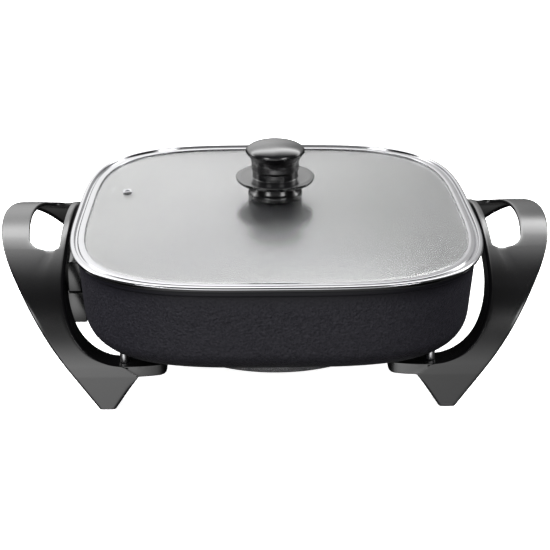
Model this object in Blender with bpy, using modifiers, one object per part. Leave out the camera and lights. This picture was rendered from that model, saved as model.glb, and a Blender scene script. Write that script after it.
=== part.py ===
"""Square electric skillet with a lift-off glass lid.

Metres, +Z up. The skillet stands on its four feet at Z = 0 and is centred on
the origin. Its handles lie along X, and its control inlet is at -X.
"""

import math

import bmesh
import bpy
from mathutils import Matrix

PART_NAME = "electric_skillet"

# Shared fits and facets
FIT_GAP = 0.0003
SLIDE_GAP = 0.0008
CUT_OVERRUN = 0.006
MERGE_DISTANCE = 0.00001
PLAN_STEPS = 48
ROUND_STEPS = 24
SMALL_STEPS = 12
ARCH_STEPS = 28
CORNER_STEPS = 4
GLASS_RINGS = 5
SHARP_ANGLE = 40

# Plan outline that the lid and the pan share
LID_WIDTH = 0.330
PLAN_SQUARENESS = 3.6
CORNER_CROWDING_SHARE = 0.75
RIM_LINE_HEIGHT = 0.130

# Pan
PAN_FLANGE_INSET = 0.0030
PAN_FLANGE_DEPTH = 0.0040
PAN_FLANGE_OVERHANG = 0.0022
PAN_HEIGHT = 0.0734
PAN_WALL = 0.0035
PAN_DRAFT = 0.0038
PAN_BOTTOM_RADIUS = 0.0220
PAN_BOSS_RADIUS = 0.0046

# Glass lid and its steel band
GLASS_THICKNESS = 0.0035
GLASS_EDGE_DROP = 0.0015
DOME_RISE = 0.0105
BAND_SHEET = 0.0008
BAND_FLAP = 0.0008
BAND_BEAD_WIDTH = 0.0040
BAND_BEAD_RISE = 0.0009
BAND_BEAD_DROP = 0.0032
BAND_GROOVE_SINK = 0.0008
BAND_LEDGE = 0.0026
BAND_LIP_CLEARANCE = 0.0006

# Vent in the lid
VENT_INSET = 0.0275
VENT_Y = 0.031
VENT_BORE = 0.0022
VENT_SHANK_RADIUS = 0.0032
VENT_FLANGE_RADIUS = 0.0044
VENT_FLANGE_THICKNESS = 0.0008

# Knob
KNOB_FOOT_RADIUS = 0.0226
KNOB_WAIST_RADIUS = 0.0192
KNOB_BASE_HEIGHT = 0.0160
KNOB_TOE = 0.0032
KNOB_DISC_RADIUS = 0.0330
KNOB_DISC_EDGE = 0.0034
KNOB_DISC_CORNER = 0.0008
KNOB_DISC_RISE = 0.0018
KNOB_COLLAR_RADIUS = 0.0188
KNOB_COLLAR_HEIGHT = 0.0054
KNOB_GRIP_RADIUS = 0.0200
KNOB_GRIP_HEIGHT = 0.0160
KNOB_CAP_RADIUS = 0.0245
KNOB_CAP_RISE = 0.0076
KNOB_CAP_FIRST_ANGLE = 75
INSERT_RADIUS = 0.0050
INSERT_LENGTH = 0.0120
KNOB_SCREW_RADIUS = 0.0025
KNOB_SCREW_HEAD_RADIUS = 0.0055
KNOB_SCREW_HEAD_HEIGHT = 0.0028
KNOB_SCREW_REACH = 0.0090
KNOB_BORE_CLEARANCE = 0.0009
KNOB_GASKET_RADIUS = 0.0125
KNOB_GASKET_THICKNESS = 0.0015
KNOB_WASHER_RADIUS = 0.0115
KNOB_WASHER_THICKNESS = 0.0012

# Handles: an elliptical arch seen from the side, a slanted leg seen from the front
ARCH_INSET = 0.0530
CROWN_DROP = 0.0035
ARCH_SPRING_HEIGHT = 0.030
HANDLE_LID_CLEARANCE = 0.0035
GRIP_WIDTH = 0.0570
LEG_TOE_IN = 0.0225
FOOT_WIDTH = 0.0133
FOOT_NOTCH = 0.0192
ARM_REACH = 0.0551
ARM_THICKNESS = 0.0092
ARM_BEND_REACH = 0.0465
ARM_BEND_RISE = 0.0600
HANDLE_RIM_DEPTH = 0.0195
HANDLE_OUTER_RIM = 0.0055
HANDLE_SKIN = 0.0040
HANDLE_WALL = 0.0032
FOOT_SOLE = 0.0040

# Finger hole through each crown
HOLE_INNER_RAIL = 0.0065
HOLE_OUTER_RAIL = 0.0227
HOLE_BOW = 0.0030
HOLE_HALF_LENGTH = 0.0534
HOLE_OUTER_CORNER = 0.0150
HOLE_INNER_CORNER = 0.0040
HOLE_CORNER_FIRST_ANGLE = 15

# Posts between the arms and the pan, with their screws
POST_LENGTH = 0.0138
POST_RADIUS = 0.0032
POST_BEND_INSET = 0.0005
POST_SPIGOT_RADIUS = 0.0018
POST_SPIGOT_HEIGHT = 0.0020
ARM_SCREW_RADIUS = 0.0015
ARM_SCREW_HEAD_RADIUS = 0.0036
ARM_SCREW_HEAD_HEIGHT = 0.0022
ARM_SCREW_REACH = 0.0070
ARM_WASHER_RADIUS = 0.0046
ARM_WASHER_THICKNESS = 0.0008

# Heater under the pan
HEATER_INSET = 0.0565
HEATER_DEPTH = 0.0236
HEATER_FLOOR = 0.0040
HEATER_WALL = 0.0045
HEATER_ROUNDING = 0.0030
ELEMENT_WALL_CLEARANCE = 0.0150
ELEMENT_TUBE_RADIUS = 0.0033
ELEMENT_BEND_RADIUS = 0.0120
ELEMENT_SEAT_HALF_WIDTH = 0.0090
HEATER_SCREW_CLEARANCE = 0.0160
HEATER_SCREW_RADIUS = 0.0018
HEATER_SCREW_HEAD_RADIUS = 0.0038
HEATER_SCREW_HEAD_HEIGHT = 0.0022
HEATER_SCREW_REACH = 0.0070
HEATER_BOSS_RADIUS = 0.0055
HEATER_GATE_CLEARANCE = 0.0060

# Control inlet at the left
PIN_SPACING = 0.0320
PIN_RADIUS = 0.0022
PIN_LENGTH = 0.0135
PIN_INSET = 0.0030
PIN_TIP = 0.0011
INSULATOR_RADIUS = 0.0039
INSULATOR_OVERHANG = 0.0020
WELL_RADIUS = 0.0034
WELL_BORE = 0.0026
WELL_RING_CLEARANCE = 0.0160
GUARD_PAN_CLEARANCE = 0.0025
GUARD_DEPTH = 0.0120
GUARD_HALF_WIDTH = 0.0380
GUARD_DROP = 0.0080
GUARD_NOSE_HEIGHT = 0.0275
GUARD_CROWN_CLEARANCE = 0.0110
GUARD_STEP = 0.0012
GUARD_WALL = 0.0020
GUARD_BACK_WALL = 0.0022
GUARD_SCREW_Y = 0.0290
GUARD_SCREW_RISE = 0.0069
GUARD_SCREW_RADIUS = 0.0015
GUARD_SCREW_HEAD_RADIUS = 0.0030
GUARD_SCREW_HEAD_HEIGHT = 0.0018
GUARD_SCREW_REACH = 0.0032
PAD_HALF_WIDTH = 0.0055
PAD_SINK = 0.0060

# Heights and half-widths that follow from the sizes above
LID_HALF = LID_WIDTH / 2
BAND_UNDERSIDE = RIM_LINE_HEIGHT - BAND_BEAD_DROP
PAN_TOP_HEIGHT = BAND_UNDERSIDE - FIT_GAP
PAN_BOTTOM_HEIGHT = PAN_TOP_HEIGHT - PAN_HEIGHT
PAN_FLOOR_MIDDLE = PAN_BOTTOM_HEIGHT + PAN_WALL / 2
PAN_FLANGE_HALF = LID_HALF - PAN_FLANGE_INSET
PAN_WALL_TOP_HALF = PAN_FLANGE_HALF - PAN_FLANGE_OVERHANG
PAN_WALL_FOOT_HALF = PAN_WALL_TOP_HALF - PAN_DRAFT
LIP_HALF = PAN_WALL_TOP_HALF - PAN_WALL - BAND_LIP_CLEARANCE
GLASS_HALF = LIP_HALF - BAND_SHEET - FIT_GAP
GLASS_EDGE_TOP = RIM_LINE_HEIGHT - GLASS_EDGE_DROP
GLASS_CENTRE_TOP = GLASS_EDGE_TOP + DOME_RISE
GLASS_CENTRE_BOTTOM = GLASS_CENTRE_TOP - GLASS_THICKNESS
GLASS_BORE = KNOB_SCREW_RADIUS + KNOB_BORE_CLEARANCE
FLAP_HALF = GLASS_HALF - BAND_FLAP
VENT_X = VENT_INSET - FLAP_HALF
BORE_GAP = FIT_GAP + FIT_GAP
HANDLE_INNER_TOP = LID_HALF + HANDLE_LID_CLEARANCE
HANDLE_OUTER_TOP = HANDLE_INNER_TOP + GRIP_WIDTH
HANDLE_OUTER_FOOT = LID_HALF - LEG_TOE_IN
FOOT_INNER = HANDLE_OUTER_FOOT - FOOT_WIDTH
NOTCH_INNER = FOOT_INNER - FOOT_NOTCH
HOLE_INNER = HANDLE_INNER_TOP + HOLE_INNER_RAIL
HOLE_OUTER = HANDLE_OUTER_TOP - HOLE_OUTER_RAIL
ARCH_HALF_DEPTH = LID_HALF - ARCH_INSET
CROWN_HEIGHT = RIM_LINE_HEIGHT - CROWN_DROP
ARCH_RISE = CROWN_HEIGHT - ARCH_SPRING_HEIGHT
ARM_END = HANDLE_OUTER_FOOT - ARM_REACH
ARM_BEND_START = HANDLE_INNER_TOP - ARM_BEND_REACH
ARM_TOP_HEIGHT = PAN_BOTTOM_HEIGHT - BORE_GAP - POST_LENGTH
ARM_BOTTOM_HEIGHT = ARM_TOP_HEIGHT - ARM_THICKNESS
ARM_COUNTERBORE_DEPTH = ARM_WASHER_THICKNESS + ARM_SCREW_HEAD_HEIGHT + BORE_GAP
POST_X = ARM_BEND_START - POST_BEND_INSET
POST_Y = ARCH_HALF_DEPTH - HANDLE_RIM_DEPTH / 2
ELEMENT_HEIGHT = PAN_BOTTOM_HEIGHT - FIT_GAP - ELEMENT_TUBE_RADIUS
HEATER_RADIUS = LID_HALF - HEATER_INSET
ELEMENT_SEAT_OUTER = HEATER_RADIUS - HEATER_WALL - ELEMENT_WALL_CLEARANCE
ELEMENT_RING_RADIUS = ELEMENT_SEAT_OUTER - ELEMENT_SEAT_HALF_WIDTH
ELEMENT_SEAT_INNER = ELEMENT_RING_RADIUS - ELEMENT_SEAT_HALF_WIDTH
HEATER_SCREW_CIRCLE = ELEMENT_SEAT_INNER - HEATER_SCREW_CLEARANCE
HEATER_BOTTOM_HEIGHT = PAN_BOTTOM_HEIGHT - HEATER_DEPTH
HEATER_FLOOR_HEIGHT = HEATER_BOTTOM_HEIGHT + HEATER_FLOOR
GUARD_BACK = PAN_WALL_FOOT_HALF + GUARD_PAN_CLEARANCE
GUARD_MOUTH = GUARD_BACK + GUARD_DEPTH
GUARD_BOTTOM_HEIGHT = ELEMENT_HEIGHT - GUARD_DROP
GUARD_STEP_HEIGHT = GUARD_BOTTOM_HEIGHT + GUARD_NOSE_HEIGHT
GUARD_TOP_HEIGHT = CROWN_HEIGHT - HANDLE_RIM_DEPTH - GUARD_CROWN_CLEARANCE
GUARD_SCREW_HEIGHT = PAN_BOTTOM_HEIGHT + GUARD_SCREW_RISE
PAD_ROOT = PAN_WALL_FOOT_HALF - PAD_SINK
PIN_INNER_END = GUARD_BACK - PIN_INSET
WELL_INNER_END = ELEMENT_RING_RADIUS + WELL_RING_CLEARANCE

# Colour, roughness, metallic value and opacity of each finish
FINISHES = {
    "dark_cast_finish": ((0.030, 0.030, 0.037), 0.45, 0.35, 1.0),
    "grey_cast_finish": ((0.075, 0.075, 0.078), 0.55, 0.40, 1.0),
    "black_phenolic": ((0.010, 0.010, 0.011), 0.18, 0.0, 1.0),
    "polished_steel": ((0.78, 0.78, 0.79), 0.15, 1.0, 1.0),
    "machined_metal": ((0.55, 0.55, 0.56), 0.35, 1.0, 1.0),
    "lid_glass": ((0.80, 0.81, 0.81), 0.06, 0.0, 0.35),
    "brass": ((0.72, 0.53, 0.24), 0.30, 1.0, 1.0),
    "grey_silicone": ((0.20, 0.20, 0.20), 0.70, 0.0, 1.0),
    "white_ceramic": ((0.80, 0.78, 0.74), 0.50, 0.0, 1.0),
    "sheathed_metal": ((0.18, 0.17, 0.16), 0.45, 0.9, 1.0),
}


def clear_scene():
    """Remove whatever the file holds."""
    for item in list(bpy.data.objects):
        bpy.data.objects.remove(item, do_unlink=True)


def new_collection(name):
    """Add a collection to the scene."""
    collection = bpy.data.collections.new(name)
    bpy.context.scene.collection.children.link(collection)
    return collection


def finish(name):
    """Return the material for a finish, made once."""
    if name in bpy.data.materials:
        return bpy.data.materials[name]
    colour, roughness, metallic, opacity = FINISHES[name]
    material = bpy.data.materials.new(name)
    material.use_nodes = True
    shader = material.node_tree.nodes["Principled BSDF"]
    shader.inputs["Base Color"].default_value = (*colour, 1.0)
    shader.inputs["Roughness"].default_value = roughness
    shader.inputs["Metallic"].default_value = metallic
    shader.inputs["Alpha"].default_value = opacity
    return material


def place(name, mesh, collection, finish_name=None):
    """Put a mesh in a collection as an object."""
    item = bpy.data.objects.new(name, mesh)
    collection.objects.link(item)
    if finish_name:
        mesh.materials.append(finish(finish_name))
    else:
        item.hide_render = True
        item.display_type = "WIRE"
    return item


def mesh_from(name, shape):
    """Turn a bmesh into a mesh with its faces pointing out."""
    bmesh.ops.recalc_face_normals(shape, faces=shape.faces)
    mesh = bpy.data.meshes.new(name)
    shape.to_mesh(mesh)
    shape.free()
    return mesh


def box(name, low, high, collection, finish_name=None):
    """Make a box between two corners."""
    shape = bmesh.new()
    bmesh.ops.create_cube(shape, size=1)
    size = [high[axis] - low[axis] for axis in range(3)]
    centre = [(high[axis] + low[axis]) / 2 for axis in range(3)]
    bmesh.ops.scale(shape, vec=size, verts=shape.verts)
    bmesh.ops.translate(shape, vec=centre, verts=shape.verts)
    return place(name, mesh_from(name, shape), collection, finish_name)


def cylinder(name, radius, start, end, collection, finish_name=None, steps=SMALL_STEPS):
    """Make a cylinder between two points on a line along X or Z."""
    along_x = start[2] == end[2]
    length = abs(end[0] - start[0]) if along_x else abs(end[2] - start[2])
    shape = bmesh.new()
    ends = {"radius1": radius, "radius2": radius}
    bmesh.ops.create_cone(shape, cap_ends=True, segments=steps, depth=length, **ends)
    if along_x:
        bmesh.ops.rotate(shape, verts=shape.verts, matrix=Matrix.Rotation(math.radians(90), 3, "Y"))
    centre = [(start[axis] + end[axis]) / 2 for axis in range(3)]
    bmesh.ops.translate(shape, vec=centre, verts=shape.verts)
    item = place(name, mesh_from(name, shape), collection, finish_name)
    item.data.shade_smooth()
    item.data.set_sharp_from_angle(angle=math.radians(SHARP_ANGLE))
    return item


def turned(name, profile, collection, finish_name=None, steps=ROUND_STEPS, ring=False):
    """Turn a profile of (radius, height) pairs, given down its outer side, about Z."""
    mesh = bpy.data.meshes.new(name)
    points = [(radius, 0, height) for radius, height in profile]
    edges = [(index, index + 1) for index in range(len(points) - 1)]
    if ring:
        edges.append((len(points) - 1, 0))
    mesh.from_pydata(points, edges, [])
    item = place(name, mesh, collection, finish_name)
    screw = item.modifiers.new("Turn", "SCREW")
    screw.steps = steps
    screw.render_steps = steps
    screw.use_merge_vertices = True
    screw.merge_threshold = MERGE_DISTANCE
    screw.use_smooth_shade = True
    bake(item)
    item.data.set_sharp_from_angle(angle=math.radians(SHARP_ANGLE))
    return item


def bake(item):
    """Replace an object's mesh with its evaluated one."""
    graph = bpy.context.evaluated_depsgraph_get()
    mesh = bpy.data.meshes.new_from_object(item.evaluated_get(graph))
    item.modifiers.clear()
    item.data = mesh


def plan_share(angle):
    """Return how far the squared plan reaches at an angle, as a share of its half-width."""
    reach = abs(math.cos(angle)) ** PLAN_SQUARENESS + abs(math.sin(angle)) ** PLAN_SQUARENESS
    return reach ** (-1 / PLAN_SQUARENESS)


def crowd_corners(angle):
    """Move an angle towards its nearest corner of the squared plan."""
    across = math.copysign(abs(math.cos(angle)) ** CORNER_CROWDING_SHARE, math.cos(angle))
    along = math.copysign(abs(math.sin(angle)) ** CORNER_CROWDING_SHARE, math.sin(angle))
    return math.atan2(along, across)


def square_plan(item, round_radius=0, square_radius=0):
    """Push a turned shape out to the squared plan, and keep it round inside round_radius."""
    for vertex in item.data.vertices:
        radius = math.hypot(vertex.co.x, vertex.co.y)
        share = 1
        if radius < square_radius:
            share = max(0, radius - round_radius) / (square_radius - round_radius)
        turned_angle = math.atan2(vertex.co.y, vertex.co.x)
        angle = turned_angle + share * (crowd_corners(turned_angle) - turned_angle)
        push = 1 + share * (plan_share(angle) - 1)
        vertex.co.x = radius * push * math.cos(angle)
        vertex.co.y = radius * push * math.sin(angle)


def arc(centre, radii, start, end, steps=CORNER_STEPS):
    """Return points on an elliptical arc, with angles in degrees."""
    across, up = centre
    turns = [math.radians(start + (end - start) * step / steps) for step in range(steps + 1)]
    return [(across + radii[0] * math.cos(turn), up + radii[1] * math.sin(turn)) for turn in turns]


def prism(name, outline, axis, start, end, collection, finish_name=None):
    """Extrude a flat outline along an axis, from start to end.

    The outline's pairs are (X, Z) along Y, (Y, Z) along X, and (X, Y) along Z.
    """
    curve = bpy.data.curves.new(name, "CURVE")
    curve.dimensions = "2D"
    curve.fill_mode = "BOTH"
    curve.extrude = (end - start) / 2
    spline = curve.splines.new("POLY")
    spline.points.add(len(outline) - 1)
    for point, (across, up) in zip(spline.points, outline):
        point.co = (across, up, 0, 1)
    spline.use_cyclic_u = True
    guide = place(name, curve, collection)
    bpy.context.view_layer.update()
    graph = bpy.context.evaluated_depsgraph_get()
    mesh = bpy.data.meshes.new_from_object(guide.evaluated_get(graph))
    bpy.data.objects.remove(guide, do_unlink=True)
    middle = (start + end) / 2
    turns = {
        "X": Matrix(((0, 0, 1), (1, 0, 0), (0, 1, 0))),
        "Y": Matrix(((1, 0, 0), (0, 0, -1), (0, 1, 0))),
        "Z": Matrix.Identity(3),
    }
    offsets = {"X": (middle, 0, 0), "Y": (0, middle, 0), "Z": (0, 0, middle)}
    shape = bmesh.new()
    shape.from_mesh(mesh)
    bpy.data.meshes.remove(mesh)
    bmesh.ops.remove_doubles(shape, verts=shape.verts, dist=MERGE_DISTANCE)
    bmesh.ops.rotate(shape, verts=shape.verts, matrix=turns[axis])
    bmesh.ops.translate(shape, verts=shape.verts, vec=offsets[axis])
    return place(name, mesh_from(name, shape), collection, finish_name)


def combine(item, operation, other):
    """Add a Boolean modifier to an object."""
    modifier = item.modifiers.new(operation.title(), "BOOLEAN")
    modifier.operation = operation
    modifier.solver = "EXACT"
    modifier.object = other


def glass_top(radius):
    """Return the height of the glass's upper face at a radius of its turned profile."""
    return GLASS_CENTRE_TOP - DOME_RISE * (radius / GLASS_HALF) ** 2


def make_pan(parts, cutters):
    """Cast pan: drafted walls, a rim flange, and bosses for what is screwed to it."""
    corner = (PAN_WALL_FOOT_HALF - PAN_BOTTOM_RADIUS, PAN_BOTTOM_HEIGHT + PAN_BOTTOM_RADIUS)
    inner_radius = PAN_BOTTOM_RADIUS - PAN_WALL
    inner = arc(corner, (inner_radius, inner_radius), -90, 0)
    outer = arc(corner, (PAN_BOTTOM_RADIUS, PAN_BOTTOM_RADIUS), 0, -90)
    flange_foot = PAN_TOP_HEIGHT - PAN_FLANGE_DEPTH
    profile = [(0, PAN_BOTTOM_HEIGHT + PAN_WALL)]
    profile += inner
    profile.append((PAN_WALL_TOP_HALF - PAN_WALL, PAN_TOP_HEIGHT))
    profile.append((PAN_FLANGE_HALF, PAN_TOP_HEIGHT))
    profile.append((PAN_FLANGE_HALF, flange_foot))
    profile.append((PAN_WALL_TOP_HALF, flange_foot))
    profile += outer
    profile.append((0, PAN_BOTTOM_HEIGHT))
    pan = turned("pan", profile, parts, "dark_cast_finish", PLAN_STEPS)
    square_plan(pan)
    for index, (x, y) in enumerate(post_places()):
        start = (x, y, PAN_BOTTOM_HEIGHT)
        end = (x, y, PAN_FLOOR_MIDDLE)
        boss = cylinder(f"pan_boss_{index}", PAN_BOSS_RADIUS, start, end, cutters)
        combine(pan, "UNION", boss)
    for index, (x, y) in enumerate(heater_screw_places()):
        low = HEATER_FLOOR_HEIGHT + FIT_GAP
        high = (x, y, PAN_FLOOR_MIDDLE)
        boss = cylinder(f"heater_boss_{index}", HEATER_BOSS_RADIUS, (x, y, low), high, cutters)
        combine(pan, "UNION", boss)
        start = (x, y, low - CUT_OVERRUN)
        end = (x, y, HEATER_FLOOR_HEIGHT + HEATER_SCREW_REACH + FIT_GAP)
        radius = HEATER_SCREW_RADIUS + FIT_GAP
        hole = cylinder(f"heater_thread_{index}", radius, start, end, cutters)
        combine(pan, "DIFFERENCE", hole)
    for index, y in enumerate((-GUARD_SCREW_Y, GUARD_SCREW_Y)):
        pad = box(
            f"guard_pad_{index}",
            (-GUARD_BACK + FIT_GAP, y - PAD_HALF_WIDTH, GUARD_SCREW_HEIGHT - PAD_HALF_WIDTH),
            (-PAD_ROOT, y + PAD_HALF_WIDTH, GUARD_SCREW_HEIGHT + PAD_HALF_WIDTH),
            cutters,
        )
        combine(pan, "UNION", pad)
        hole = cylinder(
            f"guard_thread_{index}",
            GUARD_SCREW_RADIUS + FIT_GAP,
            (-GUARD_BACK - CUT_OVERRUN, y, GUARD_SCREW_HEIGHT),
            (-GUARD_BACK + GUARD_SCREW_REACH + FIT_GAP, y, GUARD_SCREW_HEIGHT),
            cutters,
        )
        combine(pan, "DIFFERENCE", hole)
    for index, (x, y) in enumerate(post_places()):
        start = (x, y, PAN_BOTTOM_HEIGHT - CUT_OVERRUN)
        end = (x, y, PAN_BOTTOM_HEIGHT + POST_SPIGOT_HEIGHT + FIT_GAP)
        hole = cylinder(f"spigot_hole_{index}", POST_SPIGOT_RADIUS + FIT_GAP, start, end, cutters)
        combine(pan, "DIFFERENCE", hole)


def post_places():
    """Return the (X, Y) of each post."""
    return [(x, y) for x in (-POST_X, POST_X) for y in (-POST_Y, POST_Y)]


def heater_screw_places():
    """Return the (X, Y) of each heater screw."""
    corners = [math.radians(45 + 90 * index) for index in range(4)]
    circle = HEATER_SCREW_CIRCLE
    return [(circle * math.cos(turn), circle * math.sin(turn)) for turn in corners]


def make_glass(parts, cutters):
    """Low domed glass, round at its middle and squared at its edge."""
    shares = [index / GLASS_RINGS for index in range(GLASS_RINGS + 1)]
    radii = [GLASS_BORE + (GLASS_HALF - GLASS_BORE) * share for share in shares]
    top = [(radius, glass_top(radius)) for radius in radii]
    under = [(radius, glass_top(radius) - GLASS_THICKNESS) for radius in reversed(radii)]
    glass = turned("lid_glass", top + under, parts, "lid_glass", PLAN_STEPS, ring=True)
    square_plan(glass, KNOB_FOOT_RADIUS, FLAP_HALF)
    start = (VENT_X, VENT_Y, GLASS_EDGE_TOP - GLASS_THICKNESS - CUT_OVERRUN)
    end = (VENT_X, VENT_Y, GLASS_CENTRE_TOP + CUT_OVERRUN)
    hole = cylinder("vent_hole", VENT_SHANK_RADIUS + SLIDE_GAP, start, end, cutters)
    combine(glass, "DIFFERENCE", hole)


def make_band(parts):
    """Rolled steel band: a bead outside, a groove, a flat flap over the glass and a ledge under it."""
    bead_half = BAND_BEAD_WIDTH / 2
    bead_centre = (LID_HALF - bead_half, RIM_LINE_HEIGHT)
    bead_top = arc(bead_centre, (bead_half, BAND_BEAD_RISE), 180, 0)
    bead_foot = arc(bead_centre, (bead_half, BAND_BEAD_DROP), 0, -90)
    flap_foot = glass_top(FLAP_HALF) + FIT_GAP
    flap_top = flap_foot + BAND_SHEET
    groove_half = LID_HALF - BAND_BEAD_WIDTH - BAND_SHEET
    ledge_top = GLASS_EDGE_TOP - GLASS_THICKNESS - FIT_GAP
    ledge_foot = ledge_top - BAND_SHEET
    ledge_half = GLASS_HALF - BAND_LEDGE
    lip_inner = LIP_HALF - BAND_SHEET
    profile = [(FLAP_HALF, flap_top), (groove_half, flap_top - BAND_GROOVE_SINK)]
    profile += bead_top[1:]
    profile += bead_foot[1:]
    profile += [(LIP_HALF, BAND_UNDERSIDE), (LIP_HALF, ledge_foot)]
    profile += [(ledge_half, ledge_foot), (ledge_half, ledge_top)]
    profile += [(lip_inner, ledge_top), (lip_inner, flap_foot), (FLAP_HALF, flap_foot)]
    band = turned("lid_rim", profile, parts, "polished_steel", PLAN_STEPS, ring=True)
    square_plan(band)


def vent_radius():
    """Return the radius, in the glass's turned profile, of the vent's place."""
    radius = math.hypot(VENT_X, VENT_Y)
    share = (radius - KNOB_FOOT_RADIUS) / (FLAP_HALF - KNOB_FOOT_RADIUS)
    return radius / (1 + share * (plan_share(math.atan2(VENT_Y, VENT_X)) - 1))


def make_vent(parts):
    """Steel eyelet through the glass, its flange on top."""
    radius = vent_radius()
    slope = 2 * DOME_RISE * radius / GLASS_HALF ** 2
    under = BORE_GAP
    low = -GLASS_THICKNESS - under
    profile = [
        (VENT_BORE, under + VENT_FLANGE_THICKNESS),
        (VENT_FLANGE_RADIUS, under + VENT_FLANGE_THICKNESS),
        (VENT_FLANGE_RADIUS, under),
        (VENT_SHANK_RADIUS, under),
        (VENT_SHANK_RADIUS, low),
        (VENT_BORE, low),
    ]
    vent = turned("vent_eyelet", profile, parts, "polished_steel", SMALL_STEPS, ring=True)
    turn = Matrix.Rotation(math.atan2(VENT_Y, VENT_X), 4, "Z") @ Matrix.Rotation(math.atan(slope), 4, "Y")
    vent.matrix_world = Matrix.Translation((VENT_X, VENT_Y, glass_top(radius))) @ turn


def make_knob(parts):
    """Knob: base, finger-guard disc, grip, and the screw that holds them through the glass."""
    bore = KNOB_SCREW_RADIUS + BORE_GAP
    foot = GLASS_CENTRE_TOP + FIT_GAP
    base_top = foot + KNOB_BASE_HEIGHT
    flare_top = base_top - KNOB_TOE
    flare = (KNOB_WAIST_RADIUS - KNOB_FOOT_RADIUS, KNOB_TOE + KNOB_TOE)
    base = [(bore, base_top), (KNOB_WAIST_RADIUS, base_top), (KNOB_WAIST_RADIUS, flare_top)]
    base += arc((KNOB_FOOT_RADIUS, flare_top), flare, 0, -90)[1:]
    base += [(KNOB_FOOT_RADIUS, foot + KNOB_TOE), (KNOB_FOOT_RADIUS - KNOB_TOE / 2, foot), (bore, foot)]
    turned("knob_base", base, parts, "black_phenolic", ring=True)

    disc_foot = base_top + FIT_GAP
    disc_top = disc_foot + KNOB_DISC_RISE
    collar_top = disc_top + KNOB_COLLAR_HEIGHT
    disc = [
        (bore, collar_top),
        (KNOB_COLLAR_RADIUS, collar_top),
        (KNOB_COLLAR_RADIUS, disc_top),
        (KNOB_DISC_RADIUS - KNOB_DISC_CORNER, disc_top),
        (KNOB_DISC_RADIUS, disc_top - KNOB_DISC_CORNER),
        (KNOB_DISC_RADIUS, disc_top - KNOB_DISC_EDGE),
        (KNOB_WAIST_RADIUS, disc_foot),
        (bore, disc_foot),
    ]
    turned("knob_guard", disc, parts, "black_phenolic", ring=True)

    grip_foot = collar_top + FIT_GAP
    rim = grip_foot + KNOB_GRIP_HEIGHT
    half = KNOB_GRIP_HEIGHT / 2
    lower_round = KNOB_GRIP_RADIUS - KNOB_COLLAR_RADIUS
    insert_hole = INSERT_RADIUS + FIT_GAP
    insert_top = grip_foot + INSERT_LENGTH + FIT_GAP
    grip = [(0, rim + KNOB_CAP_RISE)]
    grip += arc((0, rim), (KNOB_CAP_RADIUS, KNOB_CAP_RISE), KNOB_CAP_FIRST_ANGLE, 0, CORNER_STEPS + 1)
    hollow = (KNOB_GRIP_RADIUS - KNOB_CAP_RADIUS, half)
    grip += arc((KNOB_CAP_RADIUS, rim - half), hollow, KNOB_CAP_FIRST_ANGLE, 0)
    grip += arc((KNOB_COLLAR_RADIUS, grip_foot + lower_round), (lower_round, lower_round), 0, -90, 2)
    grip += [(insert_hole, grip_foot), (insert_hole, insert_top), (0, insert_top)]
    turned("knob_grip", grip, parts, "black_phenolic")

    insert_end = grip_foot + INSERT_LENGTH
    insert = [
        (bore, insert_end),
        (INSERT_RADIUS, insert_end),
        (INSERT_RADIUS, grip_foot),
        (bore, grip_foot),
    ]
    turned("knob_insert", insert, parts, "brass", SMALL_STEPS, ring=True)

    gasket_top = GLASS_CENTRE_BOTTOM - FIT_GAP
    gasket_foot = gasket_top - KNOB_GASKET_THICKNESS
    gasket = [
        (bore, gasket_top),
        (KNOB_GASKET_RADIUS, gasket_top - FIT_GAP / 2),
        (KNOB_GASKET_RADIUS, gasket_foot),
        (bore, gasket_foot),
    ]
    turned("knob_gasket", gasket, parts, "grey_silicone", SMALL_STEPS, ring=True)

    washer_top = gasket_foot - FIT_GAP
    washer_foot = washer_top - KNOB_WASHER_THICKNESS
    washer = [
        (bore, washer_top),
        (KNOB_WASHER_RADIUS, washer_top),
        (KNOB_WASHER_RADIUS, washer_foot),
        (bore, washer_foot),
    ]
    turned("knob_washer", washer, parts, "polished_steel", SMALL_STEPS, ring=True)

    head_top = washer_foot - FIT_GAP
    screw = [
        (0, grip_foot + KNOB_SCREW_REACH),
        (KNOB_SCREW_RADIUS, grip_foot + KNOB_SCREW_REACH),
        (KNOB_SCREW_RADIUS, head_top),
        (KNOB_SCREW_HEAD_RADIUS, head_top),
        (KNOB_SCREW_HEAD_RADIUS, head_top - KNOB_SCREW_HEAD_HEIGHT),
        (0, head_top - KNOB_SCREW_HEAD_HEIGHT),
    ]
    turned("knob_screw", screw, parts, "machined_metal", SMALL_STEPS)


def arch_outline(inset, rise_inset):
    """Return the handle's side outline, drawn in from the outer face."""
    half = ARCH_HALF_DEPTH - inset
    curve = arc((0, ARCH_SPRING_HEIGHT), (half, ARCH_RISE - rise_inset), 0, 180, ARCH_STEPS)
    return curve + [(-half, -CUT_OVERRUN), (half, -CUT_OVERRUN)]


def outer_edge(height, inset=0):
    """Return the X of the leg's slanted outer edge at a height, drawn in by an inset."""
    slope = (HANDLE_OUTER_TOP - HANDLE_OUTER_FOOT) / CROWN_HEIGHT
    return HANDLE_OUTER_FOOT + slope * height - inset * math.hypot(1, slope)


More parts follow.
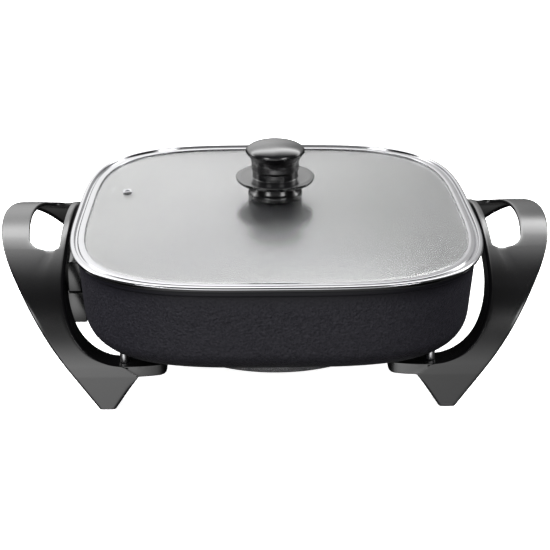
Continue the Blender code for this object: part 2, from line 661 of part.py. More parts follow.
def leg_outline(side):
    """Return the handle's front outline on one side."""
    end_radius = ARM_THICKNESS / 2
    bend = (ARM_BEND_START, ARM_TOP_HEIGHT + ARM_BEND_RISE)
    bend_radii = (HANDLE_INNER_TOP - ARM_BEND_START, ARM_BEND_RISE)
    top = CROWN_HEIGHT + CUT_OVERRUN
    outline = [(FOOT_INNER, 0), (HANDLE_OUTER_FOOT, 0), (outer_edge(top), top), (HANDLE_INNER_TOP, top)]
    outline += arc(bend, bend_radii, 0, -90, CORNER_STEPS * 2)
    arm_end = (ARM_END + end_radius, ARM_BOTTOM_HEIGHT + end_radius)
    outline += arc(arm_end, (end_radius, end_radius), 90, 270)
    outline.append((NOTCH_INNER, ARM_BOTTOM_HEIGHT))
    return [(side * across, up) for across, up in outline]


def hollow_outline(side, open_outside):
    """Return the front outline of the hollow inside the moulding, or of the space it opens to."""
    inner = FOOT_INNER + HANDLE_WALL
    bend = (ARM_BEND_START, ARM_TOP_HEIGHT + ARM_BEND_RISE)
    radii = (HANDLE_INNER_TOP + HANDLE_WALL - ARM_BEND_START, ARM_BEND_RISE + HANDLE_WALL)
    first = math.degrees(math.acos((inner - ARM_BEND_START) / radii[0]))
    top = CROWN_HEIGHT + CUT_OVERRUN
    if open_outside:
        far = HANDLE_OUTER_TOP + CUT_OVERRUN
        outline = [(inner, ARM_BOTTOM_HEIGHT), (far, ARM_BOTTOM_HEIGHT), (far, top)]
    else:
        outline = [(inner, FOOT_SOLE), (outer_edge(FOOT_SOLE, HANDLE_WALL), FOOT_SOLE)]
        outline.append((outer_edge(top, HANDLE_WALL), top))
    outline.append((HANDLE_INNER_TOP + HANDLE_WALL, top))
    outline += arc(bend, radii, 0, -first, CORNER_STEPS * 2)
    return [(side * across, up) for across, up in outline]


def hole_outline(side):
    """Return the finger hole's plan: straight inside, bowed outside."""
    bow_half = HOLE_HALF_LENGTH - HOLE_OUTER_CORNER
    bow_radius = (bow_half ** 2 + HOLE_BOW ** 2) / (2 * HOLE_BOW)
    sweep = math.degrees(math.asin(bow_half / bow_radius))
    outer_radius = HOLE_OUTER_CORNER
    inner_radius = HOLE_INNER_CORNER
    corner_x = HOLE_OUTER - HOLE_BOW - outer_radius
    inner_x = HOLE_INNER + inner_radius
    inner_y = HOLE_HALF_LENGTH - inner_radius
    outline = arc((HOLE_OUTER - bow_radius, 0), (bow_radius, bow_radius), -sweep, sweep)
    outline += arc((corner_x, bow_half), (outer_radius, outer_radius), HOLE_CORNER_FIRST_ANGLE, 90)
    outline += arc((inner_x, inner_y), (inner_radius, inner_radius), 90, 180, 3)
    outline += arc((inner_x, -inner_y), (inner_radius, inner_radius), 180, 270, 3)
    outline += arc((corner_x, -bow_half), (outer_radius, outer_radius), -90, -HOLE_CORNER_FIRST_ANGLE)
    return [(side * across, along) for across, along in outline]


def make_handle(name, side, parts, cutters):
    """Arched moulding: one grip, two legs, two arms and two feet."""
    deep = ARCH_HALF_DEPTH + CUT_OVERRUN
    near = ARM_END - CUT_OVERRUN
    far = HANDLE_OUTER_TOP + CUT_OVERRUN
    low, high = (near, far) if side > 0 else (-far, -near)
    handle = prism(name, leg_outline(side), "Y", -deep, deep, parts, "black_phenolic")
    arch = prism(f"{name}_arch", arch_outline(0, 0), "X", low, high, cutters)
    combine(handle, "INTERSECT", arch)
    under_outline = arch_outline(HANDLE_RIM_DEPTH, HANDLE_RIM_DEPTH)
    under = prism(f"{name}_under", under_outline, "X", low, high, cutters)
    combine(handle, "DIFFERENCE", under)
    for depth, open_outside in ((HANDLE_SKIN, False), (HANDLE_OUTER_RIM, True)):
        label = "opening" if open_outside else "hollow"
        inside = prism(f"{name}_{label}_arch", arch_outline(depth, depth), "X", low, high, cutters)
        hollow = prism(f"{name}_{label}", hollow_outline(side, open_outside), "Y", -deep, deep, cutters)
        combine(hollow, "INTERSECT", inside)
        combine(handle, "DIFFERENCE", hollow)
    top = CROWN_HEIGHT + CUT_OVERRUN
    hole = prism(f"{name}_hole", hole_outline(side), "Z", ARCH_SPRING_HEIGHT, top, cutters)
    combine(handle, "DIFFERENCE", hole)
    for index, y in enumerate((-POST_Y, POST_Y)):
        x = side * POST_X
        counterbore_top = ARM_BOTTOM_HEIGHT + ARM_COUNTERBORE_DEPTH
        start = (x, y, ARM_BOTTOM_HEIGHT)
        end = (x, y, ARM_TOP_HEIGHT + CUT_OVERRUN)
        radius = ARM_SCREW_RADIUS + BORE_GAP
        combine(handle, "DIFFERENCE", cylinder(f"{name}_bore_{index}", radius, start, end, cutters))
        start = (x, y, 0)
        end = (x, y, counterbore_top)
        radius = ARM_WASHER_RADIUS + FIT_GAP
        combine(handle, "DIFFERENCE", cylinder(f"{name}_seat_{index}", radius, start, end, cutters))


def make_posts(parts):
    """Spacer posts under the pan, each with a screw and a washer below the arm."""
    bore = ARM_SCREW_RADIUS + FIT_GAP
    foot = ARM_TOP_HEIGHT + FIT_GAP
    shoulder = PAN_BOTTOM_HEIGHT - FIT_GAP
    spigot = PAN_BOTTOM_HEIGHT + POST_SPIGOT_HEIGHT
    reach = foot + ARM_SCREW_REACH
    post = [
        (0, spigot),
        (POST_SPIGOT_RADIUS, spigot),
        (POST_SPIGOT_RADIUS, shoulder),
        (POST_RADIUS, shoulder),
        (POST_RADIUS, foot),
        (bore, foot),
        (bore, reach + FIT_GAP),
        (0, reach + FIT_GAP),
    ]
    washer_top = ARM_BOTTOM_HEIGHT + ARM_COUNTERBORE_DEPTH - FIT_GAP
    washer_foot = washer_top - ARM_WASHER_THICKNESS
    washer = [
        (bore, washer_top),
        (ARM_WASHER_RADIUS, washer_top),
        (ARM_WASHER_RADIUS, washer_foot),
        (bore, washer_foot),
    ]
    head_top = washer_foot - FIT_GAP
    screw = [
        (0, reach),
        (ARM_SCREW_RADIUS, reach),
        (ARM_SCREW_RADIUS, head_top),
        (ARM_SCREW_HEAD_RADIUS, head_top),
        (ARM_SCREW_HEAD_RADIUS, head_top - ARM_SCREW_HEAD_HEIGHT),
        (0, head_top - ARM_SCREW_HEAD_HEIGHT),
    ]
    corners = ("left_front", "left_back", "right_front", "right_back")
    for corner, (x, y) in zip(corners, post_places()):
        turned(f"post_{corner}", post, parts, "machined_metal", SMALL_STEPS).location = (x, y, 0)
        item = turned(f"handle_washer_{corner}", washer, parts, "polished_steel", SMALL_STEPS, ring=True)
        item.location = (x, y, 0)
        turned(f"handle_screw_{corner}", screw, parts, "machined_metal", SMALL_STEPS).location = (x, y, 0)


def make_heater(parts, cutters):
    """Round casting that presses the ring element to the pan, with its screws."""
    seat_top = ELEMENT_HEIGHT - ELEMENT_TUBE_RADIUS - FIT_GAP
    rim = PAN_BOTTOM_HEIGHT - FIT_GAP
    corner = (HEATER_RADIUS - HEATER_ROUNDING, HEATER_BOTTOM_HEIGHT + HEATER_ROUNDING)
    rounding = arc(corner, (HEATER_ROUNDING, HEATER_ROUNDING), 0, -90)
    profile = [
        (0, HEATER_FLOOR_HEIGHT),
        (ELEMENT_SEAT_INNER, HEATER_FLOOR_HEIGHT),
        (ELEMENT_SEAT_INNER, seat_top),
        (ELEMENT_SEAT_OUTER, seat_top),
        (ELEMENT_SEAT_OUTER, HEATER_FLOOR_HEIGHT),
        (HEATER_RADIUS - HEATER_WALL, HEATER_FLOOR_HEIGHT),
        (HEATER_RADIUS - HEATER_WALL, rim),
        (HEATER_RADIUS, rim),
    ]
    profile += rounding
    profile.append((0, HEATER_BOTTOM_HEIGHT))
    plate = turned("heater_plate", profile, parts, "grey_cast_finish", PLAN_STEPS)
    gate_half = PIN_SPACING / 2 + ELEMENT_TUBE_RADIUS + HEATER_GATE_CLEARANCE
    gate = box(
        "heater_gate",
        (-HEATER_RADIUS - CUT_OVERRUN, -gate_half, seat_top),
        (-HEATER_RADIUS + HEATER_WALL + CUT_OVERRUN, gate_half, rim + CUT_OVERRUN),
        cutters,
    )
    combine(plate, "DIFFERENCE", gate)
    head_seat = HEATER_BOTTOM_HEIGHT + HEATER_SCREW_HEAD_HEIGHT + FIT_GAP
    screw = [
        (0, HEATER_FLOOR_HEIGHT + HEATER_SCREW_REACH),
        (HEATER_SCREW_RADIUS, HEATER_FLOOR_HEIGHT + HEATER_SCREW_REACH),
        (HEATER_SCREW_RADIUS, head_seat - FIT_GAP),
        (HEATER_SCREW_HEAD_RADIUS, head_seat - FIT_GAP),
        (HEATER_SCREW_HEAD_RADIUS, HEATER_BOTTOM_HEIGHT),
        (0, HEATER_BOTTOM_HEIGHT),
    ]
    for index, (x, y) in enumerate(heater_screw_places()):
        below = (x, y, HEATER_BOTTOM_HEIGHT - CUT_OVERRUN)
        shank_top = (x, y, HEATER_FLOOR_HEIGHT + CUT_OVERRUN)
        shank_radius = HEATER_SCREW_RADIUS + BORE_GAP
        shank = cylinder(f"heater_bore_{index}", shank_radius, below, shank_top, cutters)
        combine(plate, "DIFFERENCE", shank)
        seat_radius = HEATER_SCREW_HEAD_RADIUS + FIT_GAP
        seat = cylinder(f"heater_seat_{index}", seat_radius, below, (x, y, head_seat), cutters)
        combine(plate, "DIFFERENCE", seat)
        item = turned(f"heater_screw_{index + 1}", screw, parts, "machined_metal", SMALL_STEPS)
        item.location = (x, y, 0)


def element_route():
    """Return the element's route: a cold end in, a bend, the ring, a bend, a cold end out."""
    lead = PIN_SPACING / 2
    start = -PIN_INNER_END + FIT_GAP
    bend_y = lead + ELEMENT_BEND_RADIUS
    reach = ELEMENT_RING_RADIUS + ELEMENT_BEND_RADIUS
    bend_x = -math.sqrt(reach ** 2 - bend_y ** 2)
    meet = math.degrees(math.atan2(bend_y, -bend_x))
    bend_radii = (ELEMENT_BEND_RADIUS, ELEMENT_BEND_RADIUS)
    ring_radii = (ELEMENT_RING_RADIUS, ELEMENT_RING_RADIUS)
    route = [(start, -lead)]
    route += arc((bend_x, -bend_y), bend_radii, 90, meet, 4)
    route += arc((0, 0), ring_radii, meet - 180, 180 - meet, 32)[1:]
    route += arc((bend_x, bend_y), bend_radii, -meet, -90, 4)[1:]
    route.append((start, lead))
    return route


def make_element(parts):
    """Sheathed ring element, as one bent tube."""
    curve = bpy.data.curves.new("heating_element", "CURVE")
    curve.dimensions = "3D"
    curve.bevel_depth = ELEMENT_TUBE_RADIUS
    curve.bevel_resolution = 2
    curve.use_fill_caps = True
    route = element_route()
    spline = curve.splines.new("POLY")
    spline.points.add(len(route) - 1)
    for point, (x, y) in zip(spline.points, route):
        point.co = (x, y, ELEMENT_HEIGHT, 1)
    guide = place("heating_element_route", curve, parts)
    bpy.context.view_layer.update()
    graph = bpy.context.evaluated_depsgraph_get()
    mesh = bpy.data.meshes.new_from_object(guide.evaluated_get(graph))
    bpy.data.objects.remove(guide, do_unlink=True)
    shape = bmesh.new()
    shape.from_mesh(mesh)
    bpy.data.meshes.remove(mesh)
    bmesh.ops.remove_doubles(shape, verts=shape.verts, dist=MERGE_DISTANCE)
    item = place("heating_element", mesh_from("heating_element", shape), parts, "sheathed_metal")
    item.data.shade_smooth()


def inlet_turned(name, profile, parts, finish_name, y, x, ring=False):
    """Turn an inlet piece and lay it along X, its profile's heights measured outwards."""
    item = turned(name, profile, parts, finish_name, SMALL_STEPS, ring)
    lay = Matrix.Rotation(math.radians(-90), 4, "Y")
    item.matrix_world = Matrix.Translation((x, y, ELEMENT_HEIGHT)) @ lay
    return item


def make_inlet(parts, cutters):
    """Guard, contact pins, ceramic bushes and probe well of the control inlet."""
    guard = box(
        "terminal_guard",
        (-GUARD_MOUTH, -GUARD_HALF_WIDTH, GUARD_BOTTOM_HEIGHT),
        (-GUARD_BACK, GUARD_HALF_WIDTH, GUARD_STEP_HEIGHT),
        parts,
        "black_phenolic",
    )
    upper = box(
        "guard_upper",
        (-GUARD_MOUTH + GUARD_STEP, -GUARD_HALF_WIDTH + GUARD_STEP, GUARD_STEP_HEIGHT - GUARD_WALL),
        (-GUARD_BACK - GUARD_BACK_WALL, GUARD_HALF_WIDTH - GUARD_STEP, GUARD_TOP_HEIGHT),
        cutters,
    )
    combine(guard, "UNION", upper)
    inner = GUARD_HALF_WIDTH - GUARD_WALL
    mouth = box(
        "guard_mouth",
        (-GUARD_MOUTH - CUT_OVERRUN, -inner, GUARD_BOTTOM_HEIGHT + GUARD_WALL),
        (-GUARD_BACK - GUARD_BACK_WALL, inner, GUARD_STEP_HEIGHT - GUARD_WALL),
        cutters,
    )
    combine(guard, "DIFFERENCE", mouth)
    relief = box(
        "guard_relief",
        (-GUARD_MOUTH + GUARD_STEP + GUARD_WALL, -inner + GUARD_STEP, GUARD_STEP_HEIGHT + GUARD_WALL),
        (-GUARD_BACK + CUT_OVERRUN, inner - GUARD_STEP, GUARD_TOP_HEIGHT - GUARD_WALL),
        cutters,
    )
    combine(guard, "DIFFERENCE", relief)
    wall_start = -GUARD_BACK + CUT_OVERRUN
    wall_end = -GUARD_BACK - GUARD_BACK_WALL - CUT_OVERRUN
    holes = [
        (-PIN_SPACING / 2, ELEMENT_HEIGHT, INSULATOR_RADIUS + FIT_GAP),
        (PIN_SPACING / 2, ELEMENT_HEIGHT, INSULATOR_RADIUS + FIT_GAP),
        (0, ELEMENT_HEIGHT, WELL_RADIUS + FIT_GAP),
        (-GUARD_SCREW_Y, GUARD_SCREW_HEIGHT, GUARD_SCREW_RADIUS + BORE_GAP),
        (GUARD_SCREW_Y, GUARD_SCREW_HEIGHT, GUARD_SCREW_RADIUS + BORE_GAP),
    ]
    for index, (y, height, radius) in enumerate(holes):
        start = (wall_start, y, height)
        end = (wall_end, y, height)
        combine(guard, "DIFFERENCE", cylinder(f"guard_hole_{index}", radius, start, end, cutters))

    pin = [(0, PIN_LENGTH), (PIN_RADIUS - PIN_TIP, PIN_LENGTH), (PIN_RADIUS, PIN_LENGTH - PIN_TIP)]
    pin += [(PIN_RADIUS, 0), (0, 0)]
    bush_start = GUARD_BACK - INSULATOR_OVERHANG / 2
    bush_length = GUARD_BACK_WALL + INSULATOR_OVERHANG
    bush_bore = PIN_RADIUS + FIT_GAP
    bush = [
        (bush_bore, bush_length),
        (INSULATOR_RADIUS, bush_length),
        (INSULATOR_RADIUS, 0),
        (bush_bore, 0),
    ]
    for index, y in enumerate((-PIN_SPACING / 2, PIN_SPACING / 2)):
        inlet_turned(f"terminal_pin_{index + 1}", pin, parts, "machined_metal", y, -PIN_INNER_END)
        bush_name = f"terminal_insulator_{index + 1}"
        inlet_turned(bush_name, bush, parts, "white_ceramic", y, -bush_start, ring=True)
    well_length = GUARD_BACK + GUARD_BACK_WALL - WELL_INNER_END
    well = [
        (0, WELL_RADIUS - WELL_BORE),
        (WELL_BORE, WELL_RADIUS - WELL_BORE),
        (WELL_BORE, well_length),
        (WELL_RADIUS, well_length),
        (WELL_RADIUS, 0),
        (0, 0),
    ]
    inlet_turned("probe_well", well, parts, "machined_metal", 0, -WELL_INNER_END)

    head = GUARD_SCREW_HEAD_HEIGHT
    face = GUARD_BACK + GUARD_BACK_WALL + FIT_GAP
    tip = GUARD_BACK - GUARD_SCREW_REACH
    screw = [
        (0, face - tip + head),
        (GUARD_SCREW_HEAD_RADIUS, face - tip + head),
        (GUARD_SCREW_HEAD_RADIUS, face - tip),
        (GUARD_SCREW_RADIUS, face - tip),
        (GUARD_SCREW_RADIUS, 0),
        (0, 0),
    ]
    for index, y in enumerate((-GUARD_SCREW_Y, GUARD_SCREW_Y)):
        item = inlet_turned(f"guard_screw_{index + 1}", screw, parts, "machined_metal", y, -tip)
        item.matrix_world.translation.z = GUARD_SCREW_HEIGHT


def main():
    """Build the skillet."""
    clear_scene()
    parts = new_collection(PART_NAME)
    cutters = new_collection("cutters")
    make_pan(parts, cutters)
    make_glass(parts, cutters)
    make_band(parts)
    make_vent(parts)
    make_knob(parts)
    make_handle("left_handle", -1, parts, cutters)
    make_handle("right_handle", 1, parts, cutters)
    make_posts(parts)
    make_heater(parts, cutters)
    make_element(parts)
    make_inlet(parts, cutters)
    bpy.context.view_layer.update()


main()
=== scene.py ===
"""Looks of the square electric skillet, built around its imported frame.

Metres, +Z up, in the frame's own coordinates. The handles lie along X, the
control inlet is at -X and the camera looks from -Y.
"""

import logging
import math
from collections.abc import Callable, Iterable, Sequence
from dataclasses import dataclass, field
from enum import Enum

import bmesh
import bpy
from mathutils import Matrix, Vector


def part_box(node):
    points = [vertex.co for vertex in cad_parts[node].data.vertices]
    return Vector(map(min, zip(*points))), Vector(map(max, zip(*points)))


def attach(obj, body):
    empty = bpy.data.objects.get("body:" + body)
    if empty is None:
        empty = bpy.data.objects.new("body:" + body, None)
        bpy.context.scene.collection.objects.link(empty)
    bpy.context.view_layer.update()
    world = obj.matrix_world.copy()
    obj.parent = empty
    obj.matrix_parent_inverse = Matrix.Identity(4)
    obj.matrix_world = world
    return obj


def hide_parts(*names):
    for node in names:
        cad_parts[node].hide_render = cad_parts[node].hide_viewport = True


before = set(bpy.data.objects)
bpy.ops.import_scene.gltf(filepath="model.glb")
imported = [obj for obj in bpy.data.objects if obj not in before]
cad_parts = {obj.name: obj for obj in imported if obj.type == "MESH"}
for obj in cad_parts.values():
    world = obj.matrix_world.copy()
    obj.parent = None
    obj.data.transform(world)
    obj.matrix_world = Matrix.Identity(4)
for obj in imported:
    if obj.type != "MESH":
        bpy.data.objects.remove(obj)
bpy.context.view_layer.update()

LOG = logging.getLogger("skillet")
LEATHERY = "leathery"

FIT_GAP = 0.0003
MERGE_DISTANCE = 0.00001
FULL_TURN = math.radians(360)
SQUARE_STEPS = 192
ROUND_STEPS = 96
SMALL_STEPS = 32
FILLET_STEPS = 5
SMALL_FILLET_STEPS = 3
PLAIN_FILLET_STEPS = 4
FINE_FILLET_STEPS = 6
BROAD_FILLET_STEPS = 10
NEARLY_HALF = 0.49
SMOOTH_ANGLE = math.radians(35)

MIX_FIRST_COLOUR = 6
MIX_SECOND_COLOUR = 7
MIX_RESULT = 2

Pair = tuple[float, float]
Corner = tuple[float, float, float]
Place = tuple[float, float, float]
Colour = tuple[float, float, float]
Grid = list[list[bmesh.types.BMVert]]


class Body(Enum):
    """The frame's moving bodies."""

    BASE = "base"
    LID = "lid"


class Slot(Enum):
    """The material slots."""

    DARK_CAST = "dark_cast"
    GREY_CAST = "grey_cast"
    PHENOLIC = "black_phenolic"
    STEEL = "polished_steel"
    METAL = "machined_metal"
    SHEATH = "sheathed_metal"
    GLASS = "lid_glass"
    BRASS = "brass"
    SILICONE = "grey_silicone"
    CERAMIC = "white_ceramic"


class Side(Enum):
    """The two ends of the skillet, as the sign of their X."""

    LEFT = -1
    RIGHT = 1


class Line(Enum):
    """The lines that run along a handle's moulding."""

    INNER = "inner edge"
    OUTER = "outer edge"
    HOLLOW = "hidden side of the inner wall"
    HOLE_INNER = "finger hole's inner edge"
    HOLE_OUTER = "finger hole's outer edge"


def ease(value: float, low: float, high: float) -> float:
    """Return a smooth step from 0 at low to 1 at high.

    Args:
        value: The number to place on the step.
        low: Where the step begins.
        high: Where the step ends.

    Returns:
        A number from 0 to 1.
    """
    share = min(1.0, max(0.0, (value - low) / (high - low)))
    return share * share * (3 - 2 * share)


def mix(first: float, second: float, share: float) -> float:
    """Return the number at a share of the way from first to second."""
    return first + (second - first) * share


def rounded(corners: Sequence[Corner], steps: int = FILLET_STEPS, closed: bool = False) -> list[Pair]:
    """Round the corners of an outline with arcs.

    Args:
        corners: The outline's corners, each with the radius of its rounding.
        steps: How many segments each arc has.
        closed: Whether the last corner joins the first.

    Returns:
        The outline's points.
    """
    points: list[Pair] = []
    count = len(corners)
    for index, (across, up, radius) in enumerate(corners):
        inside = closed or 0 < index < count - 1
        if radius <= 0 or not inside:
            points.append((across, up))
            continue
        here = Vector((across, up))
        back = Vector(corners[index - 1][:2]) - here
        ahead = Vector(corners[(index + 1) % count][:2]) - here
        half_angle = back.angle(ahead) / 2
        room = NEARLY_HALF * min(back.length, ahead.length)
        reach = min(radius / math.tan(half_angle), room)
        radius = reach * math.tan(half_angle)
        start = here + back.normalized() * reach
        end = here + ahead.normalized() * reach
        middle = (back.normalized() + ahead.normalized()).normalized()
        centre = here + middle * (radius / math.sin(half_angle))
        first = start - centre
        sweep = first.angle_signed(end - centre)
        for step in range(steps + 1):
            spoke = first.copy()
            spoke.rotate(Matrix.Rotation(-sweep * step / steps, 2))
            points.append(tuple(centre + spoke))
    return points


class Signal:
    """A shader number that Python's operators work on."""

    def __init__(self, paint: "Paint", socket: bpy.types.NodeSocket) -> None:
        """Keep the socket and the paint that its node belongs to."""
        self.paint = paint
        self.socket = socket

    def _math(self, operation: str, first: object, second: object = 0.0, clamp: bool = False) -> "Signal":
        """Add a Math node.

        Args:
            operation: The node's operation.
            first: Its first number or signal.
            second: Its second number or signal.
            clamp: Whether its result stays between 0 and 1.

        Returns:
            The node's result.
        """
        settings = {"operation": operation, "use_clamp": clamp}
        node = self.paint.node("ShaderNodeMath", settings, {0: first, 1: second})
        return Signal(self.paint, node.outputs[0])

    def __add__(self, other: object) -> "Signal":
        """Return self + other."""
        return self._math("ADD", self, other)

    def __radd__(self, other: object) -> "Signal":
        """Return other + self."""
        return self._math("ADD", other, self)

    def __sub__(self, other: object) -> "Signal":
        """Return self - other."""
        return self._math("SUBTRACT", self, other)

    def __rsub__(self, other: object) -> "Signal":
        """Return other - self."""
        return self._math("SUBTRACT", other, self)

    def __mul__(self, other: object) -> "Signal":
        """Return self * other."""
        return self._math("MULTIPLY", self, other)

    def __rmul__(self, other: object) -> "Signal":
        """Return other * self."""
        return self._math("MULTIPLY", other, self)

    def __truediv__(self, other: object) -> "Signal":
        """Return self / other."""
        return self._math("DIVIDE", self, other)

    def angle_over(self, other: "Signal") -> "Signal":
        """Return the angle whose tangent is self over other."""
        return self._math("ARCTAN2", self, other)

    def below(self, limit: float) -> "Signal":
        """Return 1 where the number is below a limit, and 0 elsewhere."""
        return self._math("LESS_THAN", self, limit)

    def clamped(self) -> "Signal":
        """Return the number held between 0 and 1."""
        return self._math("ADD", self, 0.0, clamp=True)

    def step(self, low: float, high: float) -> "Signal":
        """Return a smooth step over the number.

        Args:
            low: The number at which the step is 0.
            high: The number at which it is 1.

        Returns:
            A number from 0 to 1.
        """
        settings = {"interpolation_type": "SMOOTHSTEP"}
        values = {"Value": self, "From Min": low, "From Max": high, "To Min": 0.0, "To Max": 1.0}
        node = self.paint.node("ShaderNodeMapRange", settings, values)
        return Signal(self.paint, node.outputs["Result"])


class Paint:
    """A material's or a world's nodes, and the ways to add to them."""

    def __init__(self, tree: bpy.types.NodeTree) -> None:
        """Keep the node tree."""
        self.tree = tree

    def node(self, kind: str, settings: dict[str, object], values: dict[object, object]) -> bpy.types.Node:
        """Add a node.

        Args:
            kind: The node's type.
            settings: Its properties, set first.
            values: Its sockets' numbers, colours or links, by name or index.

        Returns:
            The node.
        """
        node = self.tree.nodes.new(kind)
        for name, setting in settings.items():
            setattr(node, name, setting)
        for key, value in values.items():
            socket = node.inputs[key]
            source = value.socket if isinstance(value, Signal) else value
            if isinstance(source, bpy.types.NodeSocket):
                self.tree.links.new(source, socket)
            else:
                socket.default_value = value
        return node

    def place(self) -> bpy.types.NodeSocket:
        """Return the point on the object, in metres."""
        return self.node("ShaderNodeTexCoord", {}, {}).outputs["Object"]

    def axes(self, vector: bpy.types.NodeSocket) -> tuple[Signal, Signal, Signal]:
        """Return a vector's three numbers."""
        split = self.node("ShaderNodeSeparateXYZ", {}, {0: vector})
        return tuple(Signal(self, output) for output in split.outputs)

    def noise(
        self,
        scale: float,
        detail: float = 3.0,
        roughness: float = 0.55,
        stretch: tuple[float, float, float] = (1.0, 1.0, 1.0),
    ) -> Signal:
        """Return soft noise over the object.

        Args:
            scale: How many times it repeats in a metre.
            detail: How many finer layers it has.
            roughness: How strong the finer layers are.
            stretch: The scale of each axis.

        Returns:
            A number from 0 to 1.
        """
        where = self.node("ShaderNodeMapping", {}, {"Vector": self.place(), "Scale": stretch}).outputs[0]
        values = {"Vector": where, "Scale": scale, "Detail": detail, "Roughness": roughness}
        return Signal(self, self.node("ShaderNodeTexNoise", {}, values).outputs["Fac"])

    def cells(self, scale: float, smoothness: float) -> Signal:
        """Return the distance to the nearest of scattered points, with rounded ridges between them.

        Args:
            scale: How many points lie in a metre.
            smoothness: How round the ridges are, from 0 to 1.

        Returns:
            A number from 0 to about 1.
        """
        settings = {"feature": "SMOOTH_F1"}
        values = {"Vector": self.place(), "Scale": scale, "Smoothness": smoothness}
        return Signal(self, self.node("ShaderNodeTexVoronoi", settings, values).outputs["Distance"])

    def attribute(self, name: str) -> Signal:
        """Return a number kept on the mesh's points."""
        node = self.node("ShaderNodeAttribute", {"attribute_name": name}, {})
        return Signal(self, node.outputs["Fac"])

    def blend(self, share: Signal, first: Colour, second: Colour) -> bpy.types.NodeSocket:
        """Return a colour between two colours.

        Args:
            share: 0 for the first colour and 1 for the second.
            first: The first colour.
            second: The second colour.

        Returns:
            The blended colour.
        """
        values = {0: share, MIX_FIRST_COLOUR: (*first, 1.0), MIX_SECOND_COLOUR: (*second, 1.0)}
        return self.node("ShaderNodeMix", {"data_type": "RGBA"}, values).outputs[MIX_RESULT]

    def ramp(self, place: Signal, stops: Sequence[Pair]) -> Signal:
        """Return a grey level that runs from stop to stop.

        Args:
            place: Where the level is read, from 0 to 1.
            stops: The (place, level) pairs, in order.

        Returns:
            The level.
        """
        node = self.node("ShaderNodeValToRGB", {}, {0: place})
        elements = node.color_ramp.elements
        for index in (0, -1):
            where, level = stops[index]
            elements[index].position = where
            elements[index].color = (level, level, level, 1.0)
        for where, level in stops[1:-1]:
            elements.new(where).color = (level, level, level, 1.0)
        return Signal(self, node.outputs["Color"])

    def bump(self, height: Signal, depth: float) -> bpy.types.NodeSocket:
        """Return a normal bent by a height that is depth metres from its lowest to its highest."""
        values = {"Strength": 1.0, "Distance": depth, "Height": height}
        return self.node("ShaderNodeBump", {}, values).outputs["Normal"]


class Finish:
    """A surface finish, made as a material when it is first asked for."""

    name: str

    def material(self) -> bpy.types.Material:
        """Make the finish's material, or find it.

        Returns:
            The material.
        """
        made = bpy.data.materials.get(self.name)
        if made:
            return made
        made = bpy.data.materials.new(self.name)
        made.use_nodes = True
        paint = Paint(made.node_tree)
        self.dress(paint, made.node_tree.nodes["Principled BSDF"].inputs)
        return made

    def dress(self, paint: Paint, shader: bpy.types.NodeInputs) -> None:
        """Set the shader's sockets.

        Args:
            paint: The material's nodes.
            shader: The shader's sockets.
        """
        raise NotImplementedError

    @staticmethod
    def wire(paint: Paint, shader: bpy.types.NodeInputs, **links: object) -> None:
        """Link signals or set constants on the shader.

        Args:
            paint: The material's nodes.
            shader: The shader's sockets.
            **links: Socket names, with _ for each space, and what each gets.
        """
        for name, value in links.items():
            socket = shader[name.replace("_", " ")]
            source = value.socket if isinstance(value, Signal) else value
            if isinstance(source, bpy.types.NodeSocket):
                paint.tree.links.new(source, socket)
            else:
                socket.default_value = source


@dataclass(frozen=True)
class DarkCast(Finish):
    """Dark coated casting, leathery where the mesh says so and smooth elsewhere."""

    name: str = "dark_cast_looks"
    colour: Colour = (0.0060, 0.0058, 0.0080)
    # Paler colour of the painted sheen on the grain's high spots.
    sheen_colour: Colour = (0.0420, 0.0405, 0.0490)
    cell_scale: float = 620.0
    wander_scale: float = 558.0
    fine_scale: float = 900.0
    cell_height: float = 0.7
    wander_height: float = 0.8
    fine_height: float = 0.16
    smooth_height: float = 0.03
    grain_depth: float = 0.00070
    # How the painted sheen follows the cells and the noise, where it starts, and how strong it is.
    cell_sheen: float = 0.5
    wander_sheen: float = 1.3
    sheen_start: float = 0.55
    sheen_strength: float = 0.55
    roughness: float = 0.40
    fine_roughness: float = 0.12
    specular: float = 0.16

    def dress(self, paint: Paint, shader: bpy.types.NodeInputs) -> None:
        """Put a leathery grain in the bump, with a painted sheen that makes its high spots a little paler.

        Args:
            paint: The material's nodes.
            shader: The shader's sockets.
        """
        rough_cast = paint.attribute(LEATHERY)
        cells = paint.cells(self.cell_scale, smoothness=0.6)
        wander = paint.noise(self.wander_scale, detail=4.0, roughness=0.6)
        fine = paint.noise(self.fine_scale, detail=2.0)
        leather = cells * self.cell_height + wander * self.wander_height + fine * self.fine_height
        height = leather * rough_cast + fine * self.smooth_height
        # Painted sheen: the grain's high spots get a paler colour, standing in for light catching them.
        sheen_spots = (wander * self.wander_sheen + cells * self.cell_sheen - self.sheen_start).clamped()
        self.wire(
            paint,
            shader,
            Base_Color=paint.blend(sheen_spots * rough_cast * self.sheen_strength, self.colour, self.sheen_colour),
            Roughness=self.roughness + self.fine_roughness * fine,
            Normal=paint.bump(height, self.grain_depth),
            Specular_IOR_Level=self.specular,
        )


